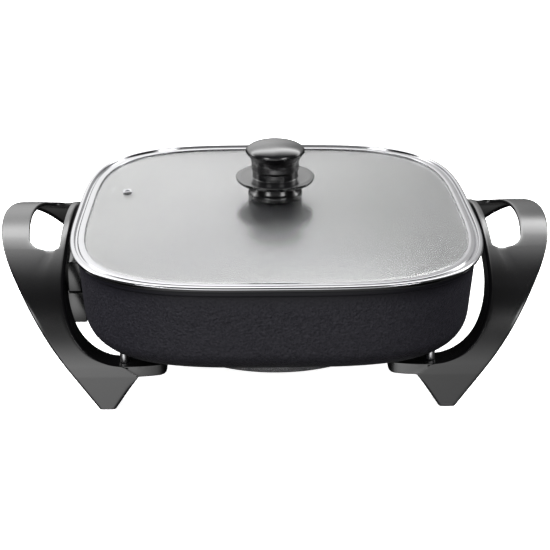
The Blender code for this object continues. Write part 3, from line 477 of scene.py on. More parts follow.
@dataclass(frozen=True)
class GreyCast(Finish):
    """Bare grey casting with pale and dark specks."""

    name: str = "grey_cast_looks"
    colour: Colour = (0.052, 0.052, 0.055)
    speck: Colour = (0.30, 0.30, 0.31)
    grain_scale: float = 1400.0
    cloud_scale: float = 60.0
    speck_contrast: float = 5.0
    speck_start: float = 2.7
    cloud_share: float = 0.5
    grain_depth: float = 0.00018
    roughness: float = 0.50
    cloud_roughness: float = 0.18
    metallic: float = 0.35

    def dress(self, paint: Paint, shader: bpy.types.NodeInputs) -> None:
        """Put specks in the colour and a sandy grain in the bump.

        Args:
            paint: The material's nodes.
            shader: The shader's sockets.
        """
        grain = paint.noise(self.grain_scale, detail=3.0, roughness=0.7)
        cloud = paint.noise(self.cloud_scale)
        specks = (grain * self.speck_contrast - self.speck_start + cloud * self.cloud_share).clamped()
        self.wire(
            paint,
            shader,
            Base_Color=paint.blend(specks, self.colour, self.speck),
            Roughness=self.roughness + self.cloud_roughness * cloud,
            Metallic=self.metallic,
            Normal=paint.bump(grain, self.grain_depth),
        )


@dataclass(frozen=True)
class Phenolic(Finish):
    """Glossy black moulding with a faint ripple and handling marks."""

    name: str = "black_phenolic_looks"
    colour: Colour = (0.0022, 0.0022, 0.0024)
    dusty: Colour = (0.0040, 0.0040, 0.0042)
    dust: float = 0.8
    cloud_scale: float = 28.0
    ripple_scale: float = 420.0
    ripple_depth: float = 0.000012
    scuff_scale: float = 240.0
    scuff_contrast: float = 3.0
    scuff_start: float = 1.9
    scuff_height: float = 0.2
    roughness: float = 0.17
    roughness_spread: float = 0.06
    ior: float = 1.58

    def dress(self, paint: Paint, shader: bpy.types.NodeInputs) -> None:
        """Vary the gloss softly over a very shallow ripple.

        Args:
            paint: The material's nodes.
            shader: The shader's sockets.
        """
        cloud = paint.noise(self.cloud_scale, detail=4.0)
        ripple = paint.noise(self.ripple_scale, detail=2.0)
        scuffs = paint.noise(self.scuff_scale, detail=4.0, roughness=0.75, stretch=(1.0, 1.0, 0.25))
        marks = (scuffs * self.scuff_contrast - self.scuff_start).clamped()
        self.wire(
            paint,
            shader,
            Base_Color=paint.blend(cloud * self.dust, self.colour, self.dusty),
            Roughness=self.roughness + self.roughness_spread * cloud + self.roughness_spread * marks,
            Normal=paint.bump(ripple + marks * self.scuff_height, self.ripple_depth),
            IOR=self.ior,
        )


@dataclass(frozen=True)
class PolishedSteel(Finish):
    """Polished stainless steel with fine drawn lines."""

    name: str = "polished_steel_looks"
    colour: Colour = (0.38, 0.38, 0.39)
    shaded: Colour = (0.30, 0.30, 0.31)
    shade: float = 0.5
    cloud_scale: float = 40.0
    hair_scale: float = 900.0
    hair_depth: float = 0.000008
    roughness: float = 0.10
    cloud_roughness: float = 0.05
    hair_roughness: float = 0.04

    def dress(self, paint: Paint, shader: bpy.types.NodeInputs) -> None:
        """Put hairlines and soft clouds in the polish.

        Args:
            paint: The material's nodes.
            shader: The shader's sockets.
        """
        cloud = paint.noise(self.cloud_scale)
        hairs = paint.noise(self.hair_scale, detail=2.0, roughness=0.6, stretch=(1.0, 1.0, 6.0))
        self.wire(
            paint,
            shader,
            Base_Color=paint.blend(cloud * self.shade, self.colour, self.shaded),
            Roughness=self.roughness + self.cloud_roughness * cloud + self.hair_roughness * hairs,
            Metallic=1.0,
            Normal=paint.bump(hairs, self.hair_depth),
        )


@dataclass(frozen=True)
class TurnedMetal(Finish):
    """Plated or turned metal with tool marks round its axis."""

    name: str = "machined_metal_looks"
    colour: Colour = (0.60, 0.60, 0.61)
    shaded: Colour = (0.42, 0.42, 0.43)
    roughness: float = 0.30
    metallic: float = 1.0
    mark_scale: float = 2600.0
    mark_depth: float = 0.00002
    cloud_scale: float = 130.0
    cloud_roughness: float = 0.14

    def dress(self, paint: Paint, shader: bpy.types.NodeInputs) -> None:
        """Put tool marks in the bump and a dull bloom in the colour.

        Args:
            paint: The material's nodes.
            shader: The shader's sockets.
        """
        cloud = paint.noise(self.cloud_scale, detail=4.0)
        marks = paint.noise(self.mark_scale, detail=1.0, roughness=0.5, stretch=(0.12, 0.12, 1.0))
        self.wire(
            paint,
            shader,
            Base_Color=paint.blend(cloud, self.colour, self.shaded),
            Roughness=self.roughness + self.cloud_roughness * cloud,
            Metallic=self.metallic,
            Normal=paint.bump(marks, self.mark_depth),
        )


@dataclass(frozen=True)
class LidGlass(Finish):
    """Clear tempered glass with the faintest tint."""

    name: str = "lid_glass_looks"
    tint: Colour = (0.965, 0.975, 0.972)
    roughness: float = 0.22
    film_scale: float = 32.0
    film_roughness: float = 0.03
    ripple_scale: float = 14.0
    ripple_depth: float = 0.00005
    ior: float = 1.52

    def dress(self, paint: Paint, shader: bpy.types.NodeInputs) -> None:
        """Give the sheet a faint film and the slow ripple of toughened glass.

        Args:
            paint: The material's nodes.
            shader: The shader's sockets.
        """
        ripple = paint.noise(self.ripple_scale, detail=1.0)
        film = paint.noise(self.film_scale, detail=2.0, roughness=0.5, stretch=(0.35, 1.0, 1.0))
        self.wire(
            paint,
            shader,
            Base_Color=(*self.tint, 1.0),
            Roughness=self.roughness + self.film_roughness * film,
            Transmission_Weight=1.0,
            IOR=self.ior,
            Normal=paint.bump(ripple, self.ripple_depth),
        )


@dataclass(frozen=True)
class PlainGrain(Finish):
    """Matt or satin material with a fine grain: silicone and ceramic."""

    name: str = "silicone_looks"
    colour: Colour = (0.20, 0.20, 0.20)
    second: Colour = (0.25, 0.25, 0.25)
    roughness: float = 0.65
    grain_roughness: float = 0.12
    grain_scale: float = 1500.0
    grain_depth: float = 0.00004

    def dress(self, paint: Paint, shader: bpy.types.NodeInputs) -> None:
        """Put a fine grain in the colour and the bump.

        Args:
            paint: The material's nodes.
            shader: The shader's sockets.
        """
        grain = paint.noise(self.grain_scale)
        self.wire(
            paint,
            shader,
            Base_Color=paint.blend(grain, self.colour, self.second),
            Roughness=self.roughness + self.grain_roughness * grain,
            Normal=paint.bump(grain, self.grain_depth),
        )


@dataclass(frozen=True)
class FloorWhite(Finish):
    """Matt white floor with a glow that hides its shadows."""

    name: str = "floor_white"
    albedo: float = 0.86
    glow: float = 0.90
    roughness: float = 0.9

    def dress(self, paint: Paint, shader: bpy.types.NodeInputs) -> None:
        """Give the floor its white and its glow.

        Args:
            paint: The material's nodes.
            shader: The shader's sockets.
        """
        self.wire(
            paint,
            shader,
            Base_Color=(self.albedo, self.albedo, self.albedo, 1.0),
            Roughness=self.roughness,
            Emission_Color=(1.0, 1.0, 1.0, 1.0),
            Emission_Strength=self.glow,
            Specular_IOR_Level=0.0,
        )


FINISH_OF_SLOT: dict[Slot, Finish] = {
    Slot.DARK_CAST: DarkCast(),
    Slot.GREY_CAST: GreyCast(),
    Slot.PHENOLIC: Phenolic(),
    Slot.STEEL: PolishedSteel(),
    Slot.METAL: TurnedMetal(),
    Slot.SHEATH: TurnedMetal(
        name="sheathed_metal_looks",
        colour=(0.16, 0.15, 0.14),
        shaded=(0.09, 0.085, 0.08),
        roughness=0.42,
        metallic=0.9,
        mark_scale=1200.0,
    ),
    Slot.GLASS: LidGlass(),
    Slot.BRASS: TurnedMetal(
        name="brass_looks",
        colour=(0.72, 0.53, 0.24),
        shaded=(0.58, 0.41, 0.17),
        roughness=0.25,
    ),
    Slot.SILICONE: PlainGrain(),
    Slot.CERAMIC: PlainGrain(
        name="ceramic_looks",
        colour=(0.80, 0.78, 0.74),
        second=(0.70, 0.68, 0.63),
        roughness=0.45,
        grain_scale=1100.0,
        grain_depth=0.00005,
    ),
}


class Shape:
    """A mesh in the making."""

    def __init__(self) -> None:
        """Start an empty mesh."""
        self.mesh = bmesh.new()

    @classmethod
    def turned(cls, profile: Sequence[Pair], steps: int, closed: bool = False) -> "Shape":
        """Spin a profile about Z.

        Args:
            profile: The profile's (radius, height) points.
            steps: How many steps a full turn has.
            closed: Whether the profile's last point joins its first.

        Returns:
            The turned shape.
        """
        shape = cls()
        points = [shape.mesh.verts.new((radius, 0.0, height)) for radius, height in profile]
        edges = [shape.mesh.edges.new(pair) for pair in zip(points, points[1:])]
        if closed:
            edges.append(shape.mesh.edges.new((points[-1], points[0])))
        bmesh.ops.spin(
            shape.mesh,
            geom=points + edges,
            axis=(0.0, 0.0, 1.0),
            cent=(0.0, 0.0, 0.0),
            angle=FULL_TURN,
            steps=steps,
            use_merge=True,
        )
        bmesh.ops.remove_doubles(shape.mesh, verts=shape.mesh.verts, dist=MERGE_DISTANCE)
        return shape

    @classmethod
    def lofted(cls, rings: Sequence[Sequence[Vector]]) -> tuple["Shape", Grid]:
        """Join rings of points into a closed tube with capped ends.

        Args:
            rings: The rings, each with as many points as the first.

        Returns:
            The shape and its vertices, ring by ring.
        """
        shape = cls()
        mesh = shape.mesh
        ring = bmesh.ops.create_circle(mesh, cap_ends=False, segments=len(rings[0]), radius=1.0)["verts"]
        grid = [ring]
        for _ in rings[1:]:
            edges = [mesh.edges.get((ring[index - 1], vertex)) for index, vertex in enumerate(ring)]
            swept = bmesh.ops.extrude_edge_only(mesh, edges=edges)["geom"]
            fresh = {item for item in swept if isinstance(item, bmesh.types.BMVert)}
            across = [[edge.other_vert(vertex) for edge in vertex.link_edges] for vertex in ring]
            ring = [next(vertex for vertex in choices if vertex in fresh) for choices in across]
            grid.append(ring)
        for vertices, points in zip(grid, rings):
            for vertex, point in zip(vertices, points):
                vertex.co = point
        for ends in (grid[0], grid[-1]):
            mesh.faces.new(ends)
        return shape, grid

    @classmethod
    def block(cls, low: Sequence[float], high: Sequence[float]) -> "Shape":
        """Make a box between two corners.

        Args:
            low: The corner with the lowest coordinates.
            high: The corner with the highest.

        Returns:
            The box.
        """
        shape = cls()
        bmesh.ops.create_cube(shape.mesh, size=1.0)
        size = Vector(high) - Vector(low)
        bmesh.ops.scale(shape.mesh, vec=size, verts=shape.mesh.verts)
        bmesh.ops.translate(shape.mesh, vec=(Vector(high) + Vector(low)) / 2, verts=shape.mesh.verts)
        return shape

    def moved(self, change: Callable[[Vector], Vector]) -> "Shape":
        """Move each point by a function of its place, and return the shape."""
        for vertex in self.mesh.verts:
            vertex.co = change(vertex.co)
        return self

    def turn(self, matrix: Matrix) -> "Shape":
        """Transform the whole shape, and return it."""
        bmesh.ops.transform(self.mesh, matrix=matrix, verts=self.mesh.verts)
        return self

    def soften(self, width: float, segments: int = 3) -> "Shape":
        """Bevel the sharp edges.

        Args:
            width: How far the bevel reaches from an edge.
            segments: How many segments it has.

        Returns:
            The shape.
        """
        shared = [edge for edge in self.mesh.edges if len(edge.link_faces) == 2]
        sharp = [edge for edge in shared if edge.calc_face_angle(0) > SMOOTH_ANGLE]
        bmesh.ops.bevel(
            self.mesh,
            geom=sharp,
            offset=width,
            offset_type="OFFSET",
            segments=segments,
            profile=0.5,
            affect="EDGES",
            material=-1,
            clamp_overlap=True,
        )
        return self

    def piece(
        self,
        name: str,
        body: Body,
        slot: Slot,
        replaces: Sequence[str] = (),
        subdivisions: int = 0,
        marks: Callable[[Vector, Vector], float] | None = None,
    ) -> bpy.types.Object:
        """Make the shape a piece of the object.

        Args:
            name: The piece's name.
            body: The body it rides on.
            slot: The material slot, which picks its finish.
            replaces: The frame's nodes that it stands for.
            subdivisions: The levels of its Subdivision Surface.
            marks: A function of a point and its normal for the leathery attribute.

        Returns:
            The piece.
        """
        bmesh.ops.remove_doubles(self.mesh, verts=self.mesh.verts, dist=MERGE_DISTANCE)
        bmesh.ops.recalc_face_normals(self.mesh, faces=self.mesh.faces)
        data = bpy.data.meshes.new(name)
        self.mesh.to_mesh(data)
        self.mesh.free()
        data.shade_smooth()
        if not subdivisions:
            data.set_sharp_from_angle(angle=SMOOTH_ANGLE)
        if marks:
            layer = data.attributes.new(LEATHERY, "FLOAT", "POINT")
            layer.data.foreach_set("value", [marks(vertex.co, vertex.normal) for vertex in data.vertices])
        item = bpy.data.objects.new(name, data)
        bpy.context.scene.collection.objects.link(item)
        if subdivisions:
            smoothing = item.modifiers.new("Smoothing", "SUBSURF")
            smoothing.levels = subdivisions
            smoothing.render_levels = subdivisions
        data.materials.append(FINISH_OF_SLOT[slot].material())
        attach(item, body.value)
        if replaces:
            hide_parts(*replaces)
        LOG.info("%s: %d faces on %s", name, len(data.polygons), body.value)
        return item


@dataclass(frozen=True)
class SquaredPlan:
    """The lid's and the pan's plan: a square with bowed sides and full corners."""

    squareness: float = 3.6

    def share(self, angle: float) -> float:
        """Return how far the plan reaches at an angle, as a share of its half-width."""
        reach = abs(math.cos(angle)) ** self.squareness + abs(math.sin(angle)) ** self.squareness
        return reach ** (-1 / self.squareness)

    def spread(self, round_radius: float = 0.0, square_radius: float = 0.0) -> Callable[[Vector], Vector]:
        """Return the move that squares a turned shape.

        Args:
            round_radius: The radius inside which the shape stays round.
            square_radius: The radius outside which it is wholly squared.

        Returns:
            A function that moves one point.
        """

        def move(point: Vector) -> Vector:
            """Push one point outwards."""
            radius = math.hypot(point.x, point.y)
            square = 1.0
            if radius < square_radius:
                square = max(0.0, radius - round_radius) / (square_radius - round_radius)
            push = 1 + square * (self.share(math.atan2(point.y, point.x)) - 1)
            return Vector((point.x * push, point.y * push, point.z))

        return move


PLAN = SquaredPlan()


def cad_looks(nodes: Iterable[str], slot: Slot) -> None:
    """Give frame nodes that stay in view their finish.

    Args:
        nodes: The nodes' names.
        slot: The material slot, which picks the finish.
    """
    for name in nodes:
        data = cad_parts[name].data
        data.materials.clear()
        data.materials.append(FINISH_OF_SLOT[slot].material())
        data.shade_smooth()
        data.set_sharp_from_angle(angle=SMOOTH_ANGLE)


@dataclass
class Pan:
    """Square cast pan: leathery walls, a smooth rim flange and cast bosses."""

    flange_depth: float = 0.0040
    flange_overhang: float = 0.0022
    wall: float = 0.0035
    draft: float = 0.0038
    bottom_radius: float = 0.0220
    rim_rounding: float = 0.0012
    edge_rounding: float = 0.0010
    undercut: float = 0.0003
    undercut_rounding: float = 0.0004
    undercut_drop: float = 0.0016
    longest_step: float = 0.0120
    grain_drop: float = 0.0012
    grain_fade: float = 0.0015
    boss_radius: float = 0.0055
    boss_circle: float = 0.0550
    boss_floor: float = 0.0043
    boss_rounding: float = 0.0008
    boss_root: float = 0.0010
    pad_half: float = 0.0055
    pad_rounding: float = 0.0012
    pad_root: float = 0.0120
    bottom: float = field(init=False)
    top: float = field(init=False)
    flange_half: float = field(init=False)

    def __post_init__(self) -> None:
        """Read the pan's place from the frame."""
        low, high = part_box("pan")
        self.flange_half = high.x
        self.top = high.z
        self.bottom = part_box("heater_plate")[1].z + FIT_GAP

    def build(self) -> None:
        """Turn the section, square it and dress it."""
        wall_top = self.flange_half - self.flange_overhang
        foot = wall_top - self.draft
        inner_foot = foot - self.wall
        inner_top = wall_top - self.wall
        floor = self.bottom + self.wall
        lip = self.top - self.flange_depth
        corners = [
            (0.0, floor, 0.0),
            (inner_foot, floor, self.bottom_radius - self.wall),
            (inner_top, self.top, self.edge_rounding),
            (self.flange_half, self.top, self.rim_rounding),
            (self.flange_half, lip, self.edge_rounding),
            (wall_top + self.undercut, lip - self.undercut, self.undercut_rounding),
            (wall_top, lip - self.undercut_drop, self.edge_rounding),
            (foot, self.bottom, self.bottom_radius),
            (0.0, self.bottom, 0.0),
        ]
        outline = rounded(corners, BROAD_FILLET_STEPS)
        dense: list[Pair] = []
        for (x0, z0), (x1, z1) in zip(outline, outline[1:]):
            parts = max(1, round(math.hypot(x1 - x0, z1 - z0) / self.longest_step))
            dense += [(mix(x0, x1, part / parts), mix(z0, z1, part / parts)) for part in range(parts)]
        dense.append(outline[-1])
        shape = Shape.turned(dense, SQUARE_STEPS).moved(PLAN.spread())
        grain_top = lip - self.grain_drop

        def leathery(point: Vector, normal: Vector) -> float:
            """Return how leathery the casting is at a point.

            Args:
                point: The point.
                normal: The surface's normal there.

            Returns:
                1 on the outer wall and under the pan, and 0 on the flange and inside.
            """
            outward = normal.x * point.x + normal.y * point.y > 0 or normal.z < -0.5
            below = 1 - ease(point.z, grain_top - self.grain_fade, grain_top)
            return below if outward else 0.0

        shape.piece("pan_casting", Body.BASE, Slot.DARK_CAST, ["pan"], marks=leathery)
        self.build_bosses()

    def build_bosses(self) -> None:
        """Make the cast bosses below the pan and the pads behind the inlet's guard."""
        root = self.bottom + self.boss_root
        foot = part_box("heater_plate")[0].z + self.boss_floor
        corners = [
            (0.0, root, 0.0),
            (self.boss_radius, root, 0.0),
            (self.boss_radius, foot, self.boss_rounding),
            (0.0, foot, 0.0),
        ]
        for index, degrees in enumerate((45, 135, 225, 315), start=1):
            angle = math.radians(degrees)
            centre = (self.boss_circle * math.cos(angle), self.boss_circle * math.sin(angle), 0)
            shape = Shape.turned(rounded(corners), SMALL_STEPS).turn(Matrix.Translation(centre))
            shape.piece(f"pan_heater_boss_{index}", Body.BASE, Slot.DARK_CAST)
        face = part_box("terminal_guard")[1].x + FIT_GAP
        wall = -self.flange_half + self.pad_root
        for index in (1, 2):
            low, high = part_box(f"guard_screw_{index}")
            middle = (low + high) / 2
            shape = Shape.block(
                (face, middle.y - self.pad_half, middle.z - self.pad_half),
                (wall, middle.y + self.pad_half, middle.z + self.pad_half),
            )
            shape.soften(self.pad_rounding).piece(f"pan_guard_pad_{index}", Body.BASE, Slot.DARK_CAST)


@dataclass
class Lid:
    """Domed glass in a rolled steel band, with its vent."""

    glass_thickness: float = 0.0035
    glass_rings: int = 48
    glass_edge: float = 0.0014
    glass_edge_steps: int = 6
    dome_rise: float = 0.0105
    glass_bore: float = 0.0034
    edge_drop: float = 0.0015
    flap: float = 0.0008
    flap_rise: float = 0.0002
    flap_rounding: float = 0.0008
    sheet: float = 0.0008
    fold: float = 0.0003
    small_fold: float = 0.0002
    tight_fold: float = 0.0001
    bead_width: float = 0.0040
    bead_rise: float = 0.0009
    bead_drop: float = 0.0032
    bead_inset: float = 0.0010
    bead_root: float = 0.0009
    bead_rounding: float = 0.0012
    bead_foot_rounding: float = 0.0010
    flap_crest: float = 0.30
    bead_overlap: float = 0.6
    groove_bank: float = 0.0022
    groove_bank_rounding: float = 0.0006
    groove_inner: float = 0.0013
    groove_outer: float = 0.0002
    groove_sink: float = 0.0011
    groove_rounding: float = 0.0004
    ledge: float = 0.0026
    vent_bore: float = 0.0022
    vent_shank: float = 0.0032
    vent_flange: float = 0.0044
    vent_sheet: float = 0.0008
    vent_lip: float = 0.00088
    vent_rounding: float = 0.0006
    half: float = field(init=False)
    glass_half: float = field(init=False)
    glass_edge_top: float = field(init=False)

    def __post_init__(self) -> None:
        """Read the lid's place from the frame."""
        self.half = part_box("lid_rim")[1].x
        self.glass_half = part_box("lid_glass")[1].x
        self.glass_edge_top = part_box("lid_glass")[1].z - self.dome_rise

    def surface(self, radius: float) -> float:
        """Return the height of the glass's upper face at a radius of its turned profile."""
        return self.glass_edge_top + self.dome_rise * (1 - (radius / self.glass_half) ** 2)

    def build(self) -> None:
        """Build the glass, the band and the vent."""
        self.build_glass()
        self.build_band()
        self.build_vent()

    def build_glass(self) -> None:
        """Turn the domed sheet and square its edge."""
        span = self.glass_half - self.glass_bore - self.glass_edge
        radii = [self.glass_bore + span * index / self.glass_rings for index in range(self.glass_rings + 1)]
        top = [(radius, self.surface(radius)) for radius in radii]
        under = [(radius, self.surface(radius) - self.glass_thickness) for radius in reversed(radii)]
        half = self.glass_thickness / 2
        middle = self.surface(self.glass_half) - half
        steps = range(self.glass_edge_steps + 1)
        turns = [math.radians(mix(75, -75, step / self.glass_edge_steps)) for step in steps]
        reach = [self.glass_half - self.glass_edge * (1 - math.cos(turn)) for turn in turns]
        rim = [(radius, middle + half * math.sin(turn)) for radius, turn in zip(reach, turns)]
        shape = Shape.turned(top + rim + under, SQUARE_STEPS, closed=True)
        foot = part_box("knob_base")[1].x
        shape.moved(PLAN.spread(foot, self.glass_half - self.flap))
        shape.piece("lid_glass_sheet", Body.LID, Slot.GLASS, ["lid_glass"])

    def build_band(self) -> None:
        """Turn the rolled band: bead, groove, flat flap, hidden lip and ledge."""
        rim_line = self.glass_edge_top + self.edge_drop
        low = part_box("lid_rim")[0].z
        underside = rim_line - self.bead_drop
        flap_half = self.glass_half - self.flap
        flap_foot = self.surface(flap_half) + FIT_GAP
        flap_top = flap_foot + self.sheet
        groove = flap_top - self.groove_sink
        groove_half = self.half - self.bead_width - self.sheet * self.bead_overlap
        bead_top = rim_line + self.bead_rise
        lip_half = self.glass_half + FIT_GAP + self.sheet
        ledge_half = self.glass_half - self.ledge
        corners = [
            (flap_half, flap_top, self.fold),
            (mix(flap_half, groove_half, self.flap_crest), flap_top + self.flap_rise, self.flap_rounding),
            (groove_half - self.groove_bank, flap_top + self.flap_rise / 2, self.groove_bank_rounding),
            (groove_half - self.groove_inner, groove, self.groove_rounding),
            (groove_half + self.groove_outer, groove, self.groove_rounding),
            (groove_half + self.bead_root, bead_top, self.bead_root),
            (self.half - self.bead_inset, bead_top, self.bead_rounding),
            (self.half, rim_line - self.small_fold, self.bead_rounding),
            (self.half - self.bead_root, underside, self.bead_foot_rounding),
            (lip_half, underside, self.fold),
            (lip_half, low, self.small_fold),
            (ledge_half, low, self.fold),
            (ledge_half, low + self.sheet, self.fold),
            (lip_half - self.sheet, low + self.sheet, self.tight_fold),
            (lip_half - self.sheet, flap_foot, self.tight_fold),
            (flap_half, flap_foot, self.small_fold),
        ]
        shape = Shape.turned(rounded(corners, FINE_FILLET_STEPS, closed=True), SQUARE_STEPS, closed=True)
        shape.moved(PLAN.spread()).piece("lid_band", Body.LID, Slot.STEEL, ["lid_rim"])

    def build_vent(self) -> None:
        """Turn the eyelet and seat it square to the glass."""
        low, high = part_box("vent_eyelet")
        centre = (low + high) / 2
        rise = 2 * FIT_GAP
        foot = -self.glass_thickness - rise
        corners = [
            (self.vent_bore, rise + self.vent_lip, self.vent_rounding),
            (self.vent_flange - self.vent_rounding, rise + self.vent_sheet, self.vent_rounding),
            (self.vent_flange, rise, self.small_fold),
            (self.vent_shank, rise, self.tight_fold),
            (self.vent_shank, foot, self.small_fold),
            (self.vent_bore, foot, self.small_fold),
        ]
        shape = Shape.turned(rounded(corners, PLAIN_FILLET_STEPS, closed=True), SMALL_STEPS * 2, closed=True)
        plan_radius = math.hypot(centre.x, centre.y)
        angle = math.atan2(centre.y, centre.x)
        slope = math.atan(2 * self.dome_rise * plan_radius / self.glass_half ** 2)
        shape.turn(Matrix.Rotation(angle, 4, "Z") @ Matrix.Rotation(slope, 4, "Y"))
        highest = max(vertex.co.z for vertex in shape.mesh.verts)
        shape.turn(Matrix.Translation((centre.x, centre.y, high.z - highest)))
        shape.piece("lid_vent", Body.LID, Slot.STEEL, ["vent_eyelet"])


@dataclass
class Knob:
    """Base, finger guard and waisted grip, as three black mouldings."""

    foot: float = 0.0226
    foot_inset: float = 0.0016
    waist: float = 0.0192
    flare_top: float = 0.74
    flare_middle: float = 0.45
    flare_middle_share: float = 0.55
    flare_foot: float = 0.30
    foot_side: float = 0.10
    flare_rounding: float = 0.0030
    flare_middle_rounding: float = 0.0060
    disc: float = 0.0330
    disc_edge: float = 0.0034
    disc_edge_slant: float = 0.0012
    disc_edge_sheet: float = 0.0010
    disc_rise: float = 0.0018
    disc_flat: float = 0.0040
    disc_flat_rounding: float = 0.0020
    disc_sink: float = 0.0002
    disc_fold: float = 0.0007
    collar: float = 0.0188
    collar_height: float = 0.0054
    grip: float = 0.0200
    grip_rounding: float = 0.0100
    grip_throat_drop: float = 0.0052
    grip_throat_rounding: float = 0.0028
    grip_foot_rise: float = 0.0014
    grip_foot_flare: float = 0.0001
    grip_foot_rounding: float = 0.0012
    grip_middle: float = 0.40
    cap: float = 0.0245
    cap_rise: float = 0.0076
    cap_steps: int = 9
    cap_lowest_turn: float = 12.0
    bore: float = 0.0031
    insert_hole: float = 0.0053
    insert_depth: float = 0.0123
    soft_edge: float = 0.0010
    edge: float = 0.0008
    small_edge: float = 0.0006
    joint_edge: float = 0.0004

    def build(self) -> None:
        """Turn the three mouldings."""
        self.build_base()
        self.build_guard()
        self.build_grip()

    def build_base(self) -> None:
        """Turn the flared base that stands on the glass."""
        low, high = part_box("knob_base")
        flare = mix(self.waist, self.foot, self.flare_middle_share)
        corners = [
            (self.bore, high.z, 0.0),
            (self.waist, high.z, self.joint_edge),
            (self.waist, mix(low.z, high.z, self.flare_top), self.flare_rounding),
            (flare, mix(low.z, high.z, self.flare_middle), self.flare_middle_rounding),
            (self.foot, mix(low.z, high.z, self.flare_foot), self.flare_rounding),
            (self.foot, mix(low.z, high.z, self.foot_side), self.soft_edge),
            (self.foot - self.foot_inset, low.z, self.edge),
            (self.bore, low.z, 0.0),
        ]
        self.turn(corners, "knob_base_moulding", ["knob_base"])

    def build_guard(self) -> None:
        """Turn the thin disc with its turned-down edge and its collar."""
        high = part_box("knob_guard")[1]
        top = high.z - self.collar_height
        foot = self.disc - self.disc_edge_slant
        lip = foot - self.disc_edge_sheet
        corners = [
            (self.bore, high.z, 0.0),
            (self.collar, high.z, self.joint_edge),
            (self.collar, top - self.disc_sink, self.disc_fold),
            (self.disc - self.disc_flat, top, self.disc_flat_rounding),
            (self.disc, top - self.disc_sink, self.small_edge),
            (foot, top - self.disc_edge, self.disc_fold),
            (lip, top - self.disc_edge, self.small_edge),
            (lip - self.disc_edge_slant, top - self.disc_rise, self.edge),
            (self.waist, top - self.disc_rise, 0.0),
            (self.bore, top - self.disc_rise, 0.0),
        ]
        self.turn(corners, "knob_guard_disc", ["knob_guard"])

    def build_grip(self) -> None:
        """Turn the waisted grip with its domed cap and the hole for its insert."""
        low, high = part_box("knob_grip")
        rim = high.z - self.cap_rise
        insert_top = low.z + self.insert_depth
        steps = range(self.cap_steps + 1)
        turns = [math.radians(mix(90, self.cap_lowest_turn, step / self.cap_steps)) for step in steps]
        corners: list[Corner] = [
            (self.cap * math.cos(turn), rim + self.cap_rise * math.sin(turn), 0.0) for turn in turns
        ]
        corners += [
            (self.cap, rim - self.joint_edge, self.edge),
            (self.cap - self.small_edge, rim - self.grip_foot_rise, self.edge),
            (self.grip + self.soft_edge, rim - self.grip_throat_drop, self.grip_throat_rounding),
            (self.grip - self.joint_edge, mix(low.z, rim, self.grip_middle), self.grip_rounding),
            (self.grip + self.grip_foot_flare, low.z + self.grip_foot_rise, self.grip_foot_rounding),
            (self.grip - self.soft_edge, low.z, self.small_edge),
            (self.insert_hole, low.z, 0.0),
            (self.insert_hole, insert_top, 0.0),
            (0.0, insert_top, 0.0),
        ]
        self.turn(corners, "knob_grip_moulding", ["knob_grip"], closed=False)

    def turn(self, corners: Sequence[Corner], name: str, nodes: Sequence[str], closed: bool = True) -> None:
        """Turn one moulding of the knob.

        Args:
            corners: Its profile's corners, with their roundings.
            name: The piece's name.
            nodes: The frame's nodes it stands for.
            closed: Whether its profile is a ring.
        """
        shape = Shape.turned(rounded(corners, FINE_FILLET_STEPS, closed), ROUND_STEPS, closed)
        shape.piece(name, Body.LID, Slot.PHENOLIC, nodes)


